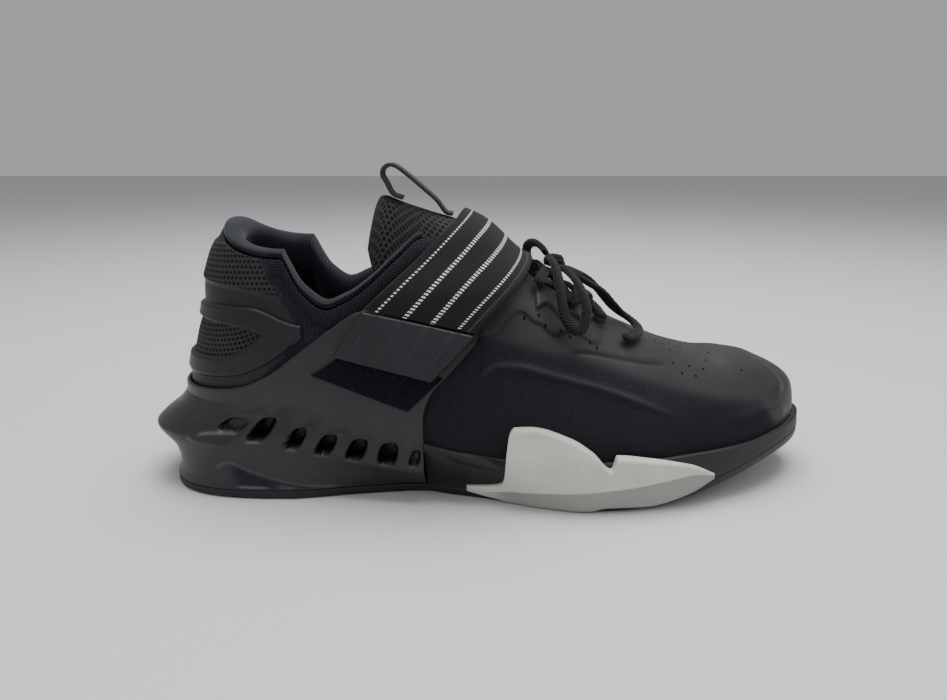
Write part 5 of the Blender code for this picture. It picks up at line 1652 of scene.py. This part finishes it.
def webbing_look():
    look = Look("webbing")
    u, v = look.uv()
    rib = look.wave(u, 14.0)
    yarn = look.wave(v, 34.0)
    fine = look.noise(1500.0, 2.0)
    dash = look.ramp(look.wave(look.plus(u, look.times(v, 0.1)), 6.6), 0.42, 0.52)
    line = None
    for middle, wide in ((0.12, 0.012), (0.37, 0.020), (0.61, 0.020), (0.84, 0.012)):
        one = look.ramp(look.far(v, middle), wide + 0.003, wide - 0.003)
        line = one if line is None else look.sum("MAXIMUM", line, one)
    white = look.times(line, dash)
    look.raise_by(rib, 0.00014)
    look.raise_by(yarn, 0.00008)
    look.raise_by(fine, 0.00008)
    look.raise_by(white, 0.0001)
    dark = look.colours(look.times(rib, fine), (0.005, 0.005, 0.005), (0.024, 0.024, 0.024))
    stitch = look.times(look.ramp(look.far(v, 0.925), 0.010, 0.006), look.ramp(look.wave(u, 8.0), 0.5, 0.6))
    dark = look.colours(stitch, dark, (0.070, 0.070, 0.072))
    colour = look.colours(white, dark, (0.66, 0.66, 0.65))
    return look.finish(colour, 0.85, 0.2, Sheen_Weight=0.08, Sheen_Roughness=0.4)


def make_strap():
    climb = np.linspace(0.0, 1.0, 90)
    across = np.linspace(0.0, 1.0, 60)[None, :]
    outer_low = [(along, height + 0.005) for along, height in (TAB.high_rear, TAB.high_front)]
    faces = []
    bevel = rounded(np.minimum(across, 1 - across) * STRAP_WIDTH, STRAP_EDGE)
    binding = STRAP_BINDING * ease((across - 0.93) / 0.01)
    for lift in (STRAP_THICKNESS * (0.5 + 0.5 * bevel) + binding, STRAP_THICKNESS * (0.5 - 0.5 * bevel)):
        one = strap_face(OUTER_SIDE, outer_low, climb[:, None], across, lift)
        other = strap_face(INNER_SIDE, STRAP_INNER_LOW, climb[::-1][1:, None], across, lift)
        faces.append(np.concatenate([one, other], 0))
    grid = np.concatenate([faces[0], faces[1][:, ::-1]], 1)
    length = np.concatenate([[0.0], np.cumsum(np.linalg.norm(np.diff(grid[:, 30], axis=0), axis=1))]) * 100
    place = np.concatenate([across[0], 2 - across[0][::-1], [2.0]])
    uv = np.stack(np.broadcast_arrays(length[:, None], place[None, :]), -1)
    made = grid_mesh("strap_webbing", grid, wrap_m=True, uv=uv, flip=True)
    material = webbing_look()
    return dress(made, material, "webbing", "strap")


make_strap()


def side_lid(name, corners, seat, thick, edge, relief=None):
    """A raised lid over the outer side between four side-view corners, with rounded edges."""
    t = np.linspace(0.0, 1.0, 90)[:, None]
    k = np.linspace(0.0, 1.0, 60)[None, :]
    low = [mix(corners.low_rear[a], corners.low_front[a], t) for a in range(2)]
    high = [mix(corners.high_rear[a], corners.high_front[a], t) for a in range(2)]
    x = x_at(mix(low[0], high[0], k))
    z = INSTEP_HEIGHT * mix(low[1], high[1], k)
    (rear_x, rear_z), (front_x, front_z), (top_x, top_z) = corners[:3]
    wide = LENGTH * math.hypot(front_x - rear_x, front_z - rear_z)
    tall = LENGTH * math.hypot(top_x - rear_x, (top_z - rear_z) * INSTEP_HEIGHT / LENGTH)
    near = np.minimum(np.minimum(t, 1 - t) * wide, np.minimum(k, 1 - k) * tall)
    full = rounded(near, edge)
    lift = seat + thick * full
    if relief is not None:
        lift = lift + relief(t, k) * full
    return grid_mesh(name, side_point(OUTER_SIDE, x, z, lift))


def tab_ribs(t, k):
    """Ribs that carry on the strap's lines and fade out towards the tab's foot."""
    value = sum(np.exp(-((t - middle) / 0.018) ** 2) for middle in (0.12, 0.37, 0.61, 0.84))
    return TAB_RIB * value * ease((k - 0.12) / 0.5)


def make_tab():
    made = side_lid("strap_tab_skin", TAB, 0.0022, STRAP_LOW_LIFT + TAB_THICKNESS - 0.0022, 0.0010, tab_ribs)
    material = plastic_look("tab", (0.008, 0.0085, 0.011), (0.013, 0.0135, 0.017), 0.5)
    return dress(made, material, "overlay", "strap_tab")


make_tab()


def pile_look():
    look = Look("pile")
    tufts = look.cells(900.0)
    fine = look.noise(2000.0, 3.0, 0.7)
    look.raise_by(tufts, 0.0006)
    look.raise_by(fine, 0.0004)
    tone = look.times(look.ramp(tufts, 0.1, 0.6), fine)
    colour = look.colours(tone, (0.002, 0.002, 0.004), (0.011, 0.012, 0.022))
    return look.finish(colour, 0.95, 0.1, Sheen_Weight=0.05, Sheen_Roughness=0.5)


def make_patch():
    seat = 2 * CLEARANCE + FRAME_WALL
    made = side_lid("hook_patch_pile", PATCH, seat - 0.001, PATCH_THICKNESS + 0.001, 0.0008)
    material = pile_look()
    return dress(made, material, "webbing", "hook_patch")


make_patch()


def pull_loop_look():
    look = Look("pull_loop")
    u, v = look.uv()
    bent = look.sum("PINGPONG", v, 0.15)
    twill = look.wave(look.plus(look.times(u, 1.0), look.times(bent, 1.2)), 9.0)
    fine = look.noise(1500.0, 2.0)
    look.raise_by(twill, 0.0002)
    look.raise_by(fine, 0.00008)
    colour = look.colours(look.ramp(twill, 0.3, 0.7), (0.006, 0.006, 0.007), (0.070, 0.070, 0.073))
    return look.finish(colour, 0.8, 0.2, Sheen_Weight=0.08, Sheen_Roughness=0.4)


def make_pull_loop():
    centre = float(arch(np.array(x_at(LOOP_FRONT_SEAT[0])))[0])
    seat = LOOP_THICKNESS / 2 - UPPER_WALL
    front = [over(x_at(share), centre, seat) for share in LOOP_FRONT_SEAT]
    rear = [over(x_at(share), centre, seat) for share in LOOP_REAR_SEAT]
    rise = [(x_at(along), centre, INSTEP_HEIGHT * height) for along, height in LOOP_PATH]
    path = smooth_path(front + rise + rear, 12)
    side = np.broadcast_to(np.array([0.0, 1.0, 0.0]), path.shape)
    ahead = np.gradient(path, axis=0)
    up = np.cross(side, ahead)
    up /= np.linalg.norm(up, axis=1, keepdims=True)
    turn = np.linspace(0.0, math.tau, 28, endpoint=False)
    grid = band_rings(path, side, up, LOOP_WIDTH / 2, LOOP_THICKNESS / 2, turn, (0.35, 0.55))
    made = grid_mesh("pull_loop_webbing", closed_ends(grid), wrap_m=True)
    material = pull_loop_look()
    return dress(made, material, "webbing", "pull_loop")


make_pull_loop()


EYESTAY_ENDS = (0.580, 0.690)


def make_eyestay(side, name, node):
    rear, front = EYESTAY_ENDS
    shares = np.linspace(rear, front, 130)[:, None]
    x = x_at(shares)
    centre, half = arch(x)[:2]
    high_y = half * bowed(body("edge", x), ARCH_ROUNDNESS) + CLEARANCE
    low_y = high_y + EYESTAY_WIDTH + 0.0016 * np.cos(math.tau * (shares - rear) / (front - rear) * 3)
    t = np.linspace(0.0, 1.0, 36)[None, :]
    y = centre + side * mix(high_y, low_y, t)
    ends = np.minimum(shares - rear, front - shares) * LENGTH
    full = rounded(np.minimum(np.minimum(t, 1 - t) * EYESTAY_WIDTH, ends), EYESTAY_EDGE)
    made = grid_mesh(name, over(x + 0 * y, y, (OVERLAY_GAP + EYESTAY_WALL) * full), flip=side == INNER_SIDE)
    material = plastic_look(name, *LEATHER, 0.6)
    return dress(made, material, "overlay", node)


make_eyestay(OUTER_SIDE, "eyestay_outer_skin", "eyestay_outer")
make_eyestay(INNER_SIDE, "eyestay_inner_skin", "eyestay_inner")


# Stage: plain floor and soft studio light

def make_stage():
    size = 4.0
    mesh = bpy.data.meshes.new("floor")
    corners = [(-size, -size, 0.0), (size, -size, 0.0), (size, size, 0.0), (-size, size, 0.0)]
    mesh.from_pydata(corners, [], [(0, 1, 2, 3)])
    ground = bpy.data.objects.new("floor", mesh)
    bpy.context.scene.collection.objects.link(ground)
    look = Look("floor")
    ground.data.materials.append(look.finish((0.60, 0.60, 0.62), 0.6))
    world = bpy.data.worlds.new("studio")
    bpy.context.scene.world = world
    world.use_nodes = True
    back = world.node_tree.nodes["Background"]
    back.inputs["Color"].default_value = (0.62, 0.63, 0.64, 1.0)
    back.inputs["Strength"].default_value = 0.62
    lights = (
        ("overhead", (0.05, 0.15, 1.1), (0.0, 0.0, 0.03), 0.9, 19.0),
        ("front", (-0.5, -0.9, 0.9), (0.0, 0.0, 0.05), 0.8, 3.0),
        ("right", (0.9, -0.3, 0.6), (0.0, 0.0, 0.05), 0.6, 2.0),
    )
    for name, place, target, wide, watts in lights:
        lamp = bpy.data.lights.new(name, "AREA")
        lamp.size = wide
        lamp.energy = watts
        made = bpy.data.objects.new(name, lamp)
        made.location = place
        made.rotation_euler = (Vector(target) - Vector(place)).to_track_quat("-Z", "Y").to_euler()
        bpy.context.scene.collection.objects.link(made)


make_stage()
